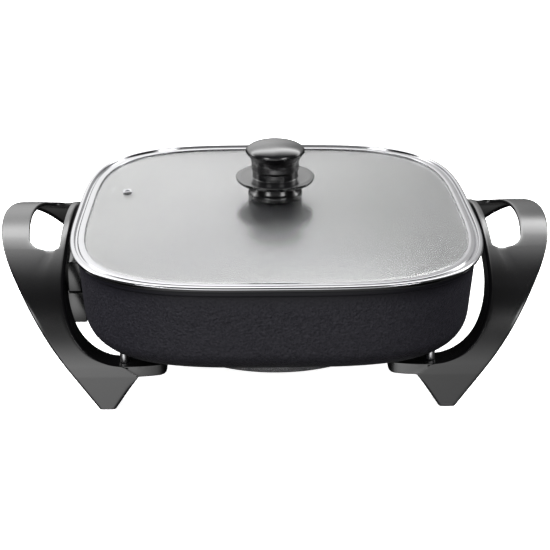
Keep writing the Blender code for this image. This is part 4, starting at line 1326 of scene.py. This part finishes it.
@dataclass
class Handle:
    """Arched moulding: a channel bent over the pan's end, with two arms and two feet.

    Its rings run up the front leg to the crown and down the back leg. Their heights are given
    for the foot, above the arm, up the arch by angle and over the finger hole by place.
    """

    side: Side
    half_depth: float = 0.1120
    rise: float = 0.0965
    spring: float = 0.0300
    lid_clearance: float = 0.0035
    grip_width: float = 0.0570
    toe_in: float = 0.0225
    foot_width: float = 0.0133
    foot_notch: float = 0.0192
    arm_reach: float = 0.0551
    arm_thickness: float = 0.0092
    bend_reach: float = 0.0465
    bend_rise: float = 0.0600
    rim_depth: float = 0.0195
    outer_rim: float = 0.0055
    skin: float = 0.0040
    wall: float = 0.0032
    sole: float = 0.0040
    hole_inner_rail: float = 0.0065
    hole_outer_rail: float = 0.0227
    hole_bow: float = 0.0030
    hole_half_length: float = 0.0534
    hole_outer_corner: float = 0.0150
    hole_inner_corner: float = 0.0040
    rounding: float = 0.0017
    arm_rounding: float = 0.0003
    arm_near: float = 0.0060
    arm_far: float = 0.0140
    outer_rim_length: float = 0.0260
    sole_fade: float = 0.0024
    hole_fade: float = 0.0300
    shoulder: float = 2.2
    rail_step: float = 0.0012
    rail_drop: float = 0.35
    wall_tip: float = 0.0008
    arm_edge: float = 0.0008
    taper_length: float = 0.0400
    taper_depth: float = 0.0068
    bow: float = 0.0024
    bow_start: float = 0.68
    bow_end: float = 0.95
    level_rise: float = 0.0040
    radial_rise: float = 0.0450
    sole_gap: float = 0.0002
    inset_share: float = 0.3
    tip_share: float = 0.4
    least_rim: float = 0.0001
    hole_inner_share: float = 0.40
    hole_outer_share: float = 0.62
    wall_rings: Pair = (0.66, 0.33)
    foot_rings: tuple[float, ...] = (
        0.0, 0.0007, 0.0024, 0.0040, 0.0050, 0.0064, 0.0105, 0.0160, 0.0220, 0.0268
    )
    bend_rings: tuple[float, ...] = (0.0006, 0.0016, 0.0034, 0.0062, 0.0102, 0.0158, 0.0230, 0.0318)
    arch_degrees: tuple[float, ...] = (32, 37, 42, 47, 51, 55, 58.5)
    hole_rings: tuple[float, ...] = (
        0.0534, 0.0528, 0.0516, 0.0494, 0.0459, 0.0420, 0.0384, 0.0300, 0.0200, 0.0100, 0.0
    )
    hole_column_above: int = 3
    hole_column_below: int = 17
    arm_columns: int = 4
    arm_root: float = 0.0012
    arm_shares: tuple[float, ...] = (1.0, 0.72, 0.50, 0.32, 0.16)
    arm_tip_degrees: tuple[float, ...] = (0, 30, 55, 78)
    inner_top: float = field(init=False)
    outer_top: float = field(init=False)
    outer_foot: float = field(init=False)
    foot_inner: float = field(init=False)
    arm_top: float = field(init=False)
    arm_bottom: float = field(init=False)
    crown: float = field(init=False)

    def __post_init__(self) -> None:
        """Work out where the moulding meets the lid, the posts and the table."""
        lid_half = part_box("lid_rim")[1].x
        self.inner_top = lid_half + self.lid_clearance
        self.outer_top = self.inner_top + self.grip_width
        self.outer_foot = lid_half - self.toe_in
        self.foot_inner = self.outer_foot - self.foot_width
        self.arm_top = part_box("post_left_front")[0].z - FIT_GAP
        self.arm_bottom = self.arm_top - self.arm_thickness
        self.crown = self.spring + self.rise

    def outer_x(self, height: float) -> float:
        """Return the slanted outer edge's X at a height."""
        bow = self.bow * ease(height, self.crown * self.bow_start, self.crown * self.bow_end)
        return self.outer_foot + (self.outer_top - self.outer_foot) * height / self.crown + bow

    def bend_x(self, height: float, out: float) -> float:
        """Return the inner bend's X.

        Args:
            height: The height above the table.
            out: How far outside the bend the wanted line runs.

        Returns:
            The line's X.
        """
        start = self.inner_top - self.bend_reach
        centre = self.arm_top + self.bend_rise
        if height >= centre:
            return self.inner_top + out
        share = (centre - height) / (self.bend_rise + out)
        return start + (self.bend_reach + out) * math.sqrt(max(0.0, 1 - share * share))

    def inner_x(self, height: float) -> float:
        """Return the inner face's X: the bend, the arm's root, then the slanted foot.

        Args:
            height: The height above the table.

        Returns:
            The face's X.
        """
        if height >= self.arm_top:
            return self.bend_x(height, 0.0)
        notch = self.foot_inner - self.foot_notch
        if height >= self.arm_bottom:
            share = (height - self.arm_bottom) / self.arm_thickness
            return mix(notch, self.inner_top - self.bend_reach, share)
        return mix(self.foot_inner, notch, height / self.arm_bottom)

    def hollow_x(self, height: float) -> float:
        """Return the X of the inner wall's hidden side at a height."""
        return max(self.foot_inner + self.wall, self.bend_x(height, self.wall))

    def hole_edges(self, along: float) -> Pair:
        """Return how far out the finger hole starts and ends.

        Args:
            along: The place along the grip, its Y.

        Returns:
            The hole's inner and outer X.
        """
        along = abs(along)
        inner = self.inner_top + self.hole_inner_rail
        outer = self.outer_top - self.hole_outer_rail
        corner_x = outer - self.hole_bow - self.hole_outer_corner
        bow_half = self.hole_half_length - self.hole_outer_corner
        if along <= bow_half:
            outer -= self.hole_bow * (along / bow_half) ** 2
        else:
            share = min(1.0, (along - bow_half) / self.hole_outer_corner)
            outer = corner_x + self.hole_outer_corner * math.sqrt(1 - share * share)
        inner_start = self.hole_half_length - self.hole_inner_corner
        if along > inner_start:
            share = min(1.0, (along - inner_start) / self.hole_inner_corner)
            inner += self.hole_inner_corner * (1 - math.sqrt(1 - share * share))
        return inner, outer

    def at(self, station: float, depth: float) -> Pair:
        """Return the place of a point of the front leg, seen from the side.

        Args:
            station: The height of the outer face.
            depth: How far the point is below that face.

        Returns:
            The point's Y and Z.
        """
        if station <= self.spring:
            return depth - self.half_depth, station
        angle = math.asin(min(1.0, (station - self.spring) / self.rise))
        level = Vector((depth - self.half_depth * math.cos(angle), station))
        radial_y = (depth - self.half_depth) * math.cos(angle)
        radial = Vector((radial_y, self.spring + (self.rise - depth) * math.sin(angle)))
        share = ease(station, self.arm_top + self.level_rise, self.arm_top + self.radial_rise)
        return tuple(level.lerp(radial, share))

    def stations(self) -> list[float]:
        """Work out where the moulding's rings lie.

        Returns:
            The heights of the rings' outer faces up the front leg, the crown last.
        """
        arm = [self.arm_bottom - self.arm_edge, self.arm_bottom, self.arm_bottom + self.arm_edge]
        arm += [self.arm_top - self.arm_edge, self.arm_top]
        bend = [self.arm_top + rise for rise in self.bend_rings]
        arch = [math.radians(angle) for angle in self.arch_degrees]
        arch += [math.acos(along / self.half_depth) for along in self.hole_rings]
        bow = [self.spring + self.rise * math.sin(angle) for angle in arch]
        return [*self.foot_rings, *arm, *bend, *bow]

    def ring(self, station: float) -> list[Vector]:
        """Return the channel's section at a height of its outer face, on the front leg.

        Args:
            station: The height of the ring's outer face.

        Returns:
            The section's points, all the way round.
        """
        arm_middle = (self.arm_top + self.arm_bottom) / 2
        near_arm = 1 - ease(abs(station - arm_middle), self.arm_near, self.arm_far)
        corner = mix(self.rounding, self.arm_rounding, near_arm)
        edge = self.rounding
        thinned = ease(station, self.arm_bottom, self.arm_bottom + self.outer_rim_length)
        outer_depth = mix(self.rim_depth, self.outer_rim, thinned)
        opened = ease(station, self.sole, self.sole + self.sole_fade)
        skin = mix(self.rim_depth - self.sole_gap, self.skin, opened)
        inner_inset = min(edge, self.inset_share * (self.rim_depth - skin))
        outer_inset = min(edge, self.inset_share * max(0.0, outer_depth - skin))
        outer_skin = min(skin, outer_depth)
        tip = self.wall_tip
        outer_tip = min(tip, self.tip_share * max(self.least_rim, outer_depth - outer_skin))
        along = self.at(station, 0.0)[0]
        hole_inner, hole_outer = self.hole_edges(along)
        away = ease(abs(along), self.hole_half_length, self.hole_half_length + self.hole_fade)

        def point(line: Line, offset: float, depth: float) -> Vector:
            """Return a point of the section.

            Args:
                line: The line that it follows.
                offset: How far it is from that line, into the moulding at either edge.
                depth: How far it is below the outer face.

            Returns:
                The point.
            """
            across, height = self.at(station, depth)
            inner, outer = self.inner_x(height), self.outer_x(height)
            hollow = self.hollow_x(height)
            if line is Line.INNER:
                x = inner + offset
            elif line is Line.OUTER:
                x = outer - offset
            elif line is Line.HOLLOW:
                x = hollow + offset
            else:
                hole, share = hole_outer, self.hole_outer_share
                if line is Line.HOLE_INNER:
                    hole, share = hole_inner, self.hole_inner_share
                x = mix(hole, mix(hollow, outer - self.wall, share), away) + offset
            return Vector((self.side.value * x, across, height))

        broad = self.shoulder
        rail = self.rail_step * (1 - away)
        drop = self.rail_drop * rail
        return [
            point(Line.INNER, corner, 0.0),
            point(Line.INNER, corner * broad, 0.0),
            point(Line.HOLE_INNER, -rail, 0.0),
            point(Line.HOLE_INNER, 0.0, drop),
            point(Line.HOLE_OUTER, 0.0, drop),
            point(Line.HOLE_OUTER, rail, 0.0),
            point(Line.OUTER, edge * broad, 0.0),
            point(Line.OUTER, edge, 0.0),
            point(Line.OUTER, 0.0, edge),
            point(Line.OUTER, 0.0, mix(edge, outer_depth - outer_tip, 0.5)),
            point(Line.OUTER, 0.0, outer_depth - outer_tip),
            point(Line.OUTER, outer_tip, outer_depth),
            point(Line.OUTER, self.wall - outer_tip, outer_depth),
            point(Line.OUTER, self.wall, outer_depth - outer_tip),
            point(Line.OUTER, self.wall, outer_skin + outer_inset),
            point(Line.OUTER, self.wall + outer_inset, outer_skin),
            point(Line.HOLE_OUTER, rail, skin),
            point(Line.HOLE_OUTER, 0.0, skin - drop),
            point(Line.HOLE_INNER, 0.0, skin - drop),
            point(Line.HOLE_INNER, -rail, skin),
            point(Line.HOLLOW, inner_inset, skin),
            point(Line.HOLLOW, 0.0, skin + inner_inset),
            point(Line.HOLLOW, 0.0, self.rim_depth - tip),
            point(Line.HOLLOW, -tip, self.rim_depth),
            point(Line.INNER, tip, self.rim_depth),
            point(Line.INNER, 0.0, self.rim_depth - tip),
            point(Line.INNER, 0.0, self.rim_depth * self.wall_rings[0]),
            point(Line.INNER, 0.0, self.rim_depth * self.wall_rings[1]),
            point(Line.INNER, 0.0, corner * broad),
            point(Line.INNER, 0.0, corner),
        ]

    def build(self) -> None:
        """Loft the channel, open the finger hole, draw out the arms and dress it."""
        front = self.stations()
        rings = [self.ring(station) for station in front]
        mirror = [[Vector((p.x, -p.y, p.z)) for p in ring] for ring in reversed(rings[:-1])]
        shape, grid = Shape.lofted(rings + mirror)
        last_ring = len(grid) - 1
        hole_start = len(front) - len(self.hole_rings)
        self.open_hole(shape.mesh, grid, hole_start, last_ring - hole_start)
        low = front.index(self.arm_bottom)
        high = front.index(self.arm_top)
        self.draw_arm(shape.mesh, grid, low, high)
        self.draw_arm(shape.mesh, grid, last_ring - high, last_ring - low)
        node = f"{self.side.name.lower()}_handle"
        shape.piece(f"{node}_moulding", Body.BASE, Slot.PHENOLIC, [node], subdivisions=2)

    @staticmethod
    def quad(grid: Grid, ring: int, column: int) -> bmesh.types.BMFace:
        """Find a face of the moulding.

        Args:
            grid: The moulding's vertices, ring by ring.
            ring: The ring at its start.
            column: The place along the ring.

        Returns:
            The face between that ring and the next.
        """
        count = len(grid[0])
        corners = {grid[ring][column], grid[ring + 1][column], grid[ring][(column + 1) % count]}
        return next(face for face in grid[ring][column].link_faces if corners <= set(face.verts))

    def open_hole(self, mesh: bmesh.types.BMesh, grid: Grid, first: int, last: int) -> None:
        """Cut the finger hole through the skin and wall it.

        Args:
            mesh: The moulding's mesh.
            grid: Its vertices, ring by ring.
            first: The first ring of the hole.
            last: The last ring of the hole.
        """
        columns = (self.hole_column_above, self.hole_column_below)
        cut = [self.quad(grid, ring, column) for ring in range(first, last) for column in columns]
        bmesh.ops.delete(mesh, geom=cut, context="FACES")
        bmesh.ops.bridge_loops(mesh, edges=[edge for edge in mesh.edges if edge.is_boundary])

    def draw_arm(self, mesh: bmesh.types.BMesh, grid: Grid, start: int, end: int) -> None:
        """Draw an arm out of the leg's inner face, with a round end.

        Args:
            mesh: The moulding's mesh.
            grid: Its vertices, ring by ring.
            start: The ring at one edge of the arm.
            end: The ring at its other edge.
        """
        columns = range(len(grid[0]) - 1 - self.arm_columns, len(grid[0]) - 1)
        faces = [self.quad(grid, ring, column) for ring in range(start, end) for column in columns]
        places = [vertex.co.y for face in faces for vertex in face.verts]
        front, back = min(places), max(places)
        arm_front = -self.half_depth if front < 0 else self.half_depth - self.rim_depth
        across = arm_front + self.rim_depth / 2
        middle = (self.arm_top + self.arm_bottom) / 2
        radius = self.arm_thickness / 2
        tip = self.outer_foot - self.arm_reach
        root = self.foot_inner - self.foot_notch - self.arm_root
        turns = [math.radians(angle) for angle in self.arm_tip_degrees]
        reaches = [(mix(tip + radius, root, share), 1.0) for share in self.arm_shares]
        reaches += [(tip + radius * (1 - math.sin(turn)), math.cos(turn)) for turn in turns]
        height_before, width_before = 1.0, 1.0
        for index, (reach, height) in enumerate(reaches):
            made = bmesh.ops.extrude_face_region(mesh, geom=faces)["geom"]
            spent = [face for face in faces if face.is_valid]
            if spent:
                bmesh.ops.delete(mesh, geom=spent, context="FACES_ONLY")
            faces = [item for item in made if isinstance(item, bmesh.types.BMFace)]
            near = min(1.0, max(0.0, 1 - (reach - tip) / self.taper_length))
            width = 1 - (1 - math.sqrt(1 - near * near)) * 2 * self.taper_depth / self.rim_depth
            for vertex in (item for item in made if isinstance(item, bmesh.types.BMVert)):
                if index == 0:
                    share = (vertex.co.y - front) / (back - front)
                    vertex.co.y = arm_front + self.rim_depth * share
                    vertex.co.z = min(self.arm_top, max(self.arm_bottom, vertex.co.z))
                vertex.co.x = self.side.value * reach
                vertex.co.y = across + (vertex.co.y - across) * width / width_before
                vertex.co.z = middle + (vertex.co.z - middle) * height / height_before
            height_before, width_before = height, width


@dataclass
class Heater:
    """Round grey casting under the pan that holds the ring element."""

    floor: float = 0.0040
    wall: float = 0.0045
    rounding: float = 0.0030
    ring_radius: float = 0.0800
    seat_half: float = 0.0090
    groove_inset: float = 0.0120
    groove_width: float = 0.0072
    groove_slope: float = 0.0012
    groove_depth: float = 0.0008
    groove_edge: float = 0.0006
    edge: float = 0.0008
    soft_edge: float = 0.0010
    corner: float = 0.0015
    inner_edge: float = 0.0005

    def build(self) -> None:
        """Turn the casting, with a groove round its bottom, and dress the element."""
        low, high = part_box("heater_plate")
        radius = high.x
        inner = radius - self.wall
        floor = low.z + self.floor
        seat_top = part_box("heating_element")[0].z - FIT_GAP
        seat_start, seat_end = self.ring_radius - self.seat_half, self.ring_radius + self.seat_half
        groove_end = radius - self.groove_inset
        groove_start = groove_end - self.groove_width
        groove_top = low.z + self.groove_depth
        corners = [
            (0.0, floor, 0.0),
            (seat_start, floor, self.edge),
            (seat_start, seat_top, self.soft_edge),
            (seat_end, seat_top, self.soft_edge),
            (seat_end, floor, self.edge),
            (inner, floor, self.corner),
            (inner, high.z, self.inner_edge),
            (radius, high.z, self.soft_edge),
            (radius, low.z, self.rounding),
            (groove_end, low.z, self.groove_edge),
            (groove_end - self.groove_slope, groove_top, self.edge),
            (groove_start + self.groove_slope, groove_top, self.edge),
            (groove_start, low.z, self.groove_edge),
            (0.0, low.z, 0.0),
        ]
        shape = Shape.turned(rounded(corners, PLAIN_FILLET_STEPS), ROUND_STEPS * 2)
        shape.piece("heater_casting", Body.BASE, Slot.GREY_CAST, ["heater_plate"])
        cad_looks(["heating_element"], Slot.SHEATH)


@dataclass
class Inlet:
    """Moulded guard round the contact pins and the probe tube."""

    wall: float = 0.0020
    back_wall: float = 0.0022
    step: float = 0.0012
    nose: float = 0.0275
    lead: float = 0.0034
    overlap: float = 0.0002
    nose_edge: float = 0.0006
    cover_edge: float = 0.0014

    def build(self) -> None:
        """Build the guard's nose and cover and dress the metal inside."""
        low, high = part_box("terminal_guard")
        low.x -= self.lead
        step_height = low.z + self.nose
        shape = Shape.block((low.x, low.y, low.z), (high.x, high.y, step_height))
        mouth = min(shape.mesh.faces, key=lambda face: face.calc_center_median().x)
        bmesh.ops.inset_region(shape.mesh, faces=[mouth], thickness=self.wall, use_even_offset=True)
        depth = high.x - low.x - self.back_wall
        pushed = bmesh.ops.extrude_face_region(shape.mesh, geom=[mouth])["geom"]
        bmesh.ops.delete(shape.mesh, geom=[mouth], context="FACES")
        floor = [item for item in pushed if isinstance(item, bmesh.types.BMVert)]
        bmesh.ops.translate(shape.mesh, verts=floor, vec=(depth, 0, 0))
        shape.soften(self.nose_edge)
        shape.piece("inlet_nose", Body.BASE, Slot.PHENOLIC, ["terminal_guard"])
        cover = Shape.block(
            (low.x + self.step, low.y + self.step, step_height - self.overlap),
            (high.x - self.back_wall, high.y - self.step, high.z),
        )
        cover.soften(self.cover_edge, segments=4)
        cover.piece("inlet_cover", Body.BASE, Slot.PHENOLIC)
        cad_looks(["terminal_pin_1", "terminal_pin_2", "probe_well"], Slot.METAL)
        cad_looks(["terminal_insulator_1", "terminal_insulator_2"], Slot.CERAMIC)


@dataclass
class Fasteners:
    """Posts, screws and washers."""

    corners: tuple[str, ...] = ("left_front", "left_back", "right_front", "right_back")
    spigot: float = 0.0018
    bore: float = 0.0018
    bore_depth: float = 0.0073
    post_edge: float = 0.0005
    small_edge: float = 0.0002
    tight_edge: float = 0.0001

    def build(self) -> None:
        """Turn the posts and dress the screws and washers."""
        for corner in self.corners:
            self.build_post(corner)
        cad_looks([f"handle_washer_{corner}" for corner in self.corners] + ["knob_washer"], Slot.STEEL)
        screws = [f"handle_screw_{corner}" for corner in self.corners] + ["knob_screw"]
        screws += [f"heater_screw_{index}" for index in range(1, 5)] + ["guard_screw_1", "guard_screw_2"]
        cad_looks(screws, Slot.METAL)
        cad_looks(["knob_insert"], Slot.BRASS)
        cad_looks(["knob_gasket"], Slot.SILICONE)

    def build_post(self, corner: str) -> None:
        """Turn one spacer post with softened ends.

        Args:
            corner: The corner that the post stands at.
        """
        low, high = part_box(f"post_{corner}")
        centre = (low + high) / 2
        radius = (high.x - low.x) / 2
        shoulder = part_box("heater_plate")[1].z
        bore_end = low.z + self.bore_depth
        corners = [
            (0.0, high.z, 0.0),
            (self.spigot, high.z, self.small_edge),
            (self.spigot, shoulder, self.tight_edge),
            (radius, shoulder, self.post_edge),
            (radius, low.z, self.post_edge),
            (self.bore, low.z, self.small_edge),
            (self.bore, bore_end, self.tight_edge),
            (0.0, bore_end, 0.0),
        ]
        shape = Shape.turned(rounded(corners, SMALL_FILLET_STEPS), SMALL_STEPS)
        shape.turn(Matrix.Translation((centre.x, centre.y, 0)))
        shape.piece(f"post_{corner}_turned", Body.BASE, Slot.METAL, [f"post_{corner}"])


@dataclass(frozen=True)
class Lamp:
    """A square lamp: its place, what it points at, its side and its power in watts."""

    name: str
    place: Place
    aim: Place
    size: float
    power: float
    glossy: bool

    def hang(self) -> None:
        """Make the lamp and turn it to its aim."""
        light = bpy.data.lights.new(self.name, "AREA")
        light.size = self.size
        light.energy = self.power
        item = bpy.data.objects.new(self.name, light)
        bpy.context.scene.collection.objects.link(item)
        item.location = self.place
        item.rotation_mode = "QUATERNION"
        item.rotation_quaternion = (Vector(self.aim) - Vector(self.place)).to_track_quat("-Z", "Y")
        item.visible_glossy = self.glossy


@dataclass(frozen=True)
class Surround:
    """Grey surround: a tall bright screen behind, dark overhead, pale low in front.

    Its levels go by the angle in degrees from straight behind, over the top, to the front. The
    fades read the same angle in half turns, or a direction's X and Z.
    """

    peak: float = 9.0
    levels: tuple[Pair, ...] = (
        (-90, 0.15), (-50, 0.15), (-24, 0.06), (-12, 0.09), (-5, 0.35), (2, 0.90), (8, 1.25),
        (15, 1.70), (24, 2.20), (31, 2.30), (40, 2.70), (48, 7.60), (54, 8.60), (63, 5.60),
        (72, 3.10), (80, 2.10), (94, 0.80), (104, 0.25), (116, 0.06), (142, 0.06), (154, 0.28),
        (166, 0.85), (180, 2.40), (196, 3.60), (208, 3.00), (222, 0.50), (240, 0.15), (270, 0.15),
    )
    right: Pair = (-0.10, 0.32)
    lift: float = 0.045
    lift_start: Pair = (0.20, 0.24)
    lift_end: float = 0.6
    behind_shade: float = 0.64
    behind_start: Pair = (-0.04, 0.0)
    behind_end: Pair = (0.18, 0.235)
    front_shade: float = 0.60
    front_start: Pair = (0.80, 0.98)
    front_right: Pair = (-0.25, 0.30)
    low_side_shade: float = 0.85
    low_side_across: Pair = (0.06, 0.30)
    low_side_top: Pair = (0.02, 0.25)
    front_side_shade: float = 0.75
    front_side_start: Pair = (0.50, 0.60)
    front_side_across: Pair = (0.08, 0.30)

    def build(self) -> None:
        """Make the world and wire its strength."""
        world = bpy.data.worlds.new("surround")
        bpy.context.scene.world = world
        world.use_nodes = True
        paint = Paint(world.node_tree)
        direction = paint.node("ShaderNodeTexCoord", {}, {}).outputs["Generated"]
        across, along, up = paint.axes(direction)
        turn = up.angle_over(along) / math.pi
        turn = turn + 2.0 * turn.below(-0.5)
        right = across.angle_over(along).step(*self.right)
        lifted = turn + self.lift * right * turn.step(*self.lift_start) * turn.below(self.lift_end)
        stops = [((angle + 90) / 360, level / self.peak) for angle, level in self.levels]
        level = paint.ramp((lifted + 0.5) / 2.0, stops)
        square = across * across
        behind = (1 - turn.step(*self.behind_end)) * turn.step(*self.behind_start) * right
        low_front = turn.step(*self.front_start) * across.step(*self.front_right)
        low_side = square.step(*self.low_side_across) * (1 - up.step(*self.low_side_top))
        front_side = turn.step(*self.front_side_start) * square.step(*self.front_side_across)
        strength = self.peak * level * (1 - behind * self.behind_shade)
        strength = strength * (1 - low_front * self.front_shade) * (1 - low_side * self.low_side_shade)
        strength = strength * (1 - front_side * self.front_side_shade)
        background = world.node_tree.nodes["Background"].inputs
        background["Color"].default_value = (1.0, 1.0, 1.0, 1.0)
        world.node_tree.links.new(strength.socket, background["Strength"])


@dataclass
class Studio:
    """White floor, soft surround, lamps and camera.

    Two lamps only brighten the floor, and two show in the knob.
    """

    camera_place: Place = (-0.02122, -0.93908, 0.49150)
    camera_aim: Place = (-0.00062, -0.02788, 0.08005)
    camera_roll: float = math.radians(0.09)
    camera_reach: float = 200.0
    focal_length: float = 78.26
    sensor: float = 36.0
    shift_up: float = -1 / 550
    floor_half: float = 40.0
    surround: Surround = Surround()
    lamps: tuple[Lamp, ...] = (
        Lamp("floor_lamp_left", (-2.2, -1.6, 2.6), (-0.25, -0.20, 0.0), 1.4, 210.0, False),
        Lamp("floor_lamp_right", (2.0, -0.6, 2.8), (0.2, 0.1, 0.0), 1.4, 150.0, False),
        Lamp("front_lamp_left", (-0.85, -1.25, 0.75), (0.0, 0.0, 0.15), 0.45, 5.0, True),
        Lamp("front_lamp_right", (0.85, -1.25, 0.75), (0.0, 0.0, 0.15), 0.45, 5.0, True),
    )

    def build(self) -> None:
        """Set the camera, the floor, the surround and the lamps."""
        self.set_camera()
        self.set_floor()
        self.surround.build()
        for lamp in self.lamps:
            lamp.hang()
        bpy.context.scene.view_settings.view_transform = "Standard"

    def set_camera(self) -> None:
        """Place the camera at the photograph's viewing angle."""
        lens = bpy.data.cameras.new("camera")
        lens.lens = self.focal_length
        lens.sensor_width = self.sensor
        lens.shift_y = self.shift_up
        lens.clip_end = self.camera_reach
        item = bpy.data.objects.new("camera", lens)
        bpy.context.scene.collection.objects.link(item)
        look = (Vector(self.camera_aim) - Vector(self.camera_place)).to_track_quat("-Z", "Y")
        turn = look.to_matrix().to_4x4() @ Matrix.Rotation(self.camera_roll, 4, "Z")
        item.matrix_world = Matrix.Translation(self.camera_place) @ turn
        bpy.context.scene.camera = item

    def set_floor(self) -> None:
        """Lay the floor, which throws no light on the object and doesn't show in its gloss."""
        shape = bmesh.new()
        bmesh.ops.create_grid(shape, x_segments=1, y_segments=1, size=self.floor_half)
        data = bpy.data.meshes.new("floor")
        shape.to_mesh(data)
        shape.free()
        data.materials.append(FloorWhite().material())
        floor = bpy.data.objects.new("floor", data)
        floor.visible_glossy = False
        floor.visible_diffuse = False
        bpy.context.scene.collection.objects.link(floor)


def main() -> None:
    """Build the skillet's looks in order."""
    logging.basicConfig(level=logging.INFO, format="%(name)s %(message)s")
    Studio().build()
    Pan().build()
    Lid().build()
    Knob().build()
    for side in Side:
        Handle(side).build()
    Heater().build()
    Inlet().build()
    Fasteners().build()


if __name__ == "__main__":
    main()
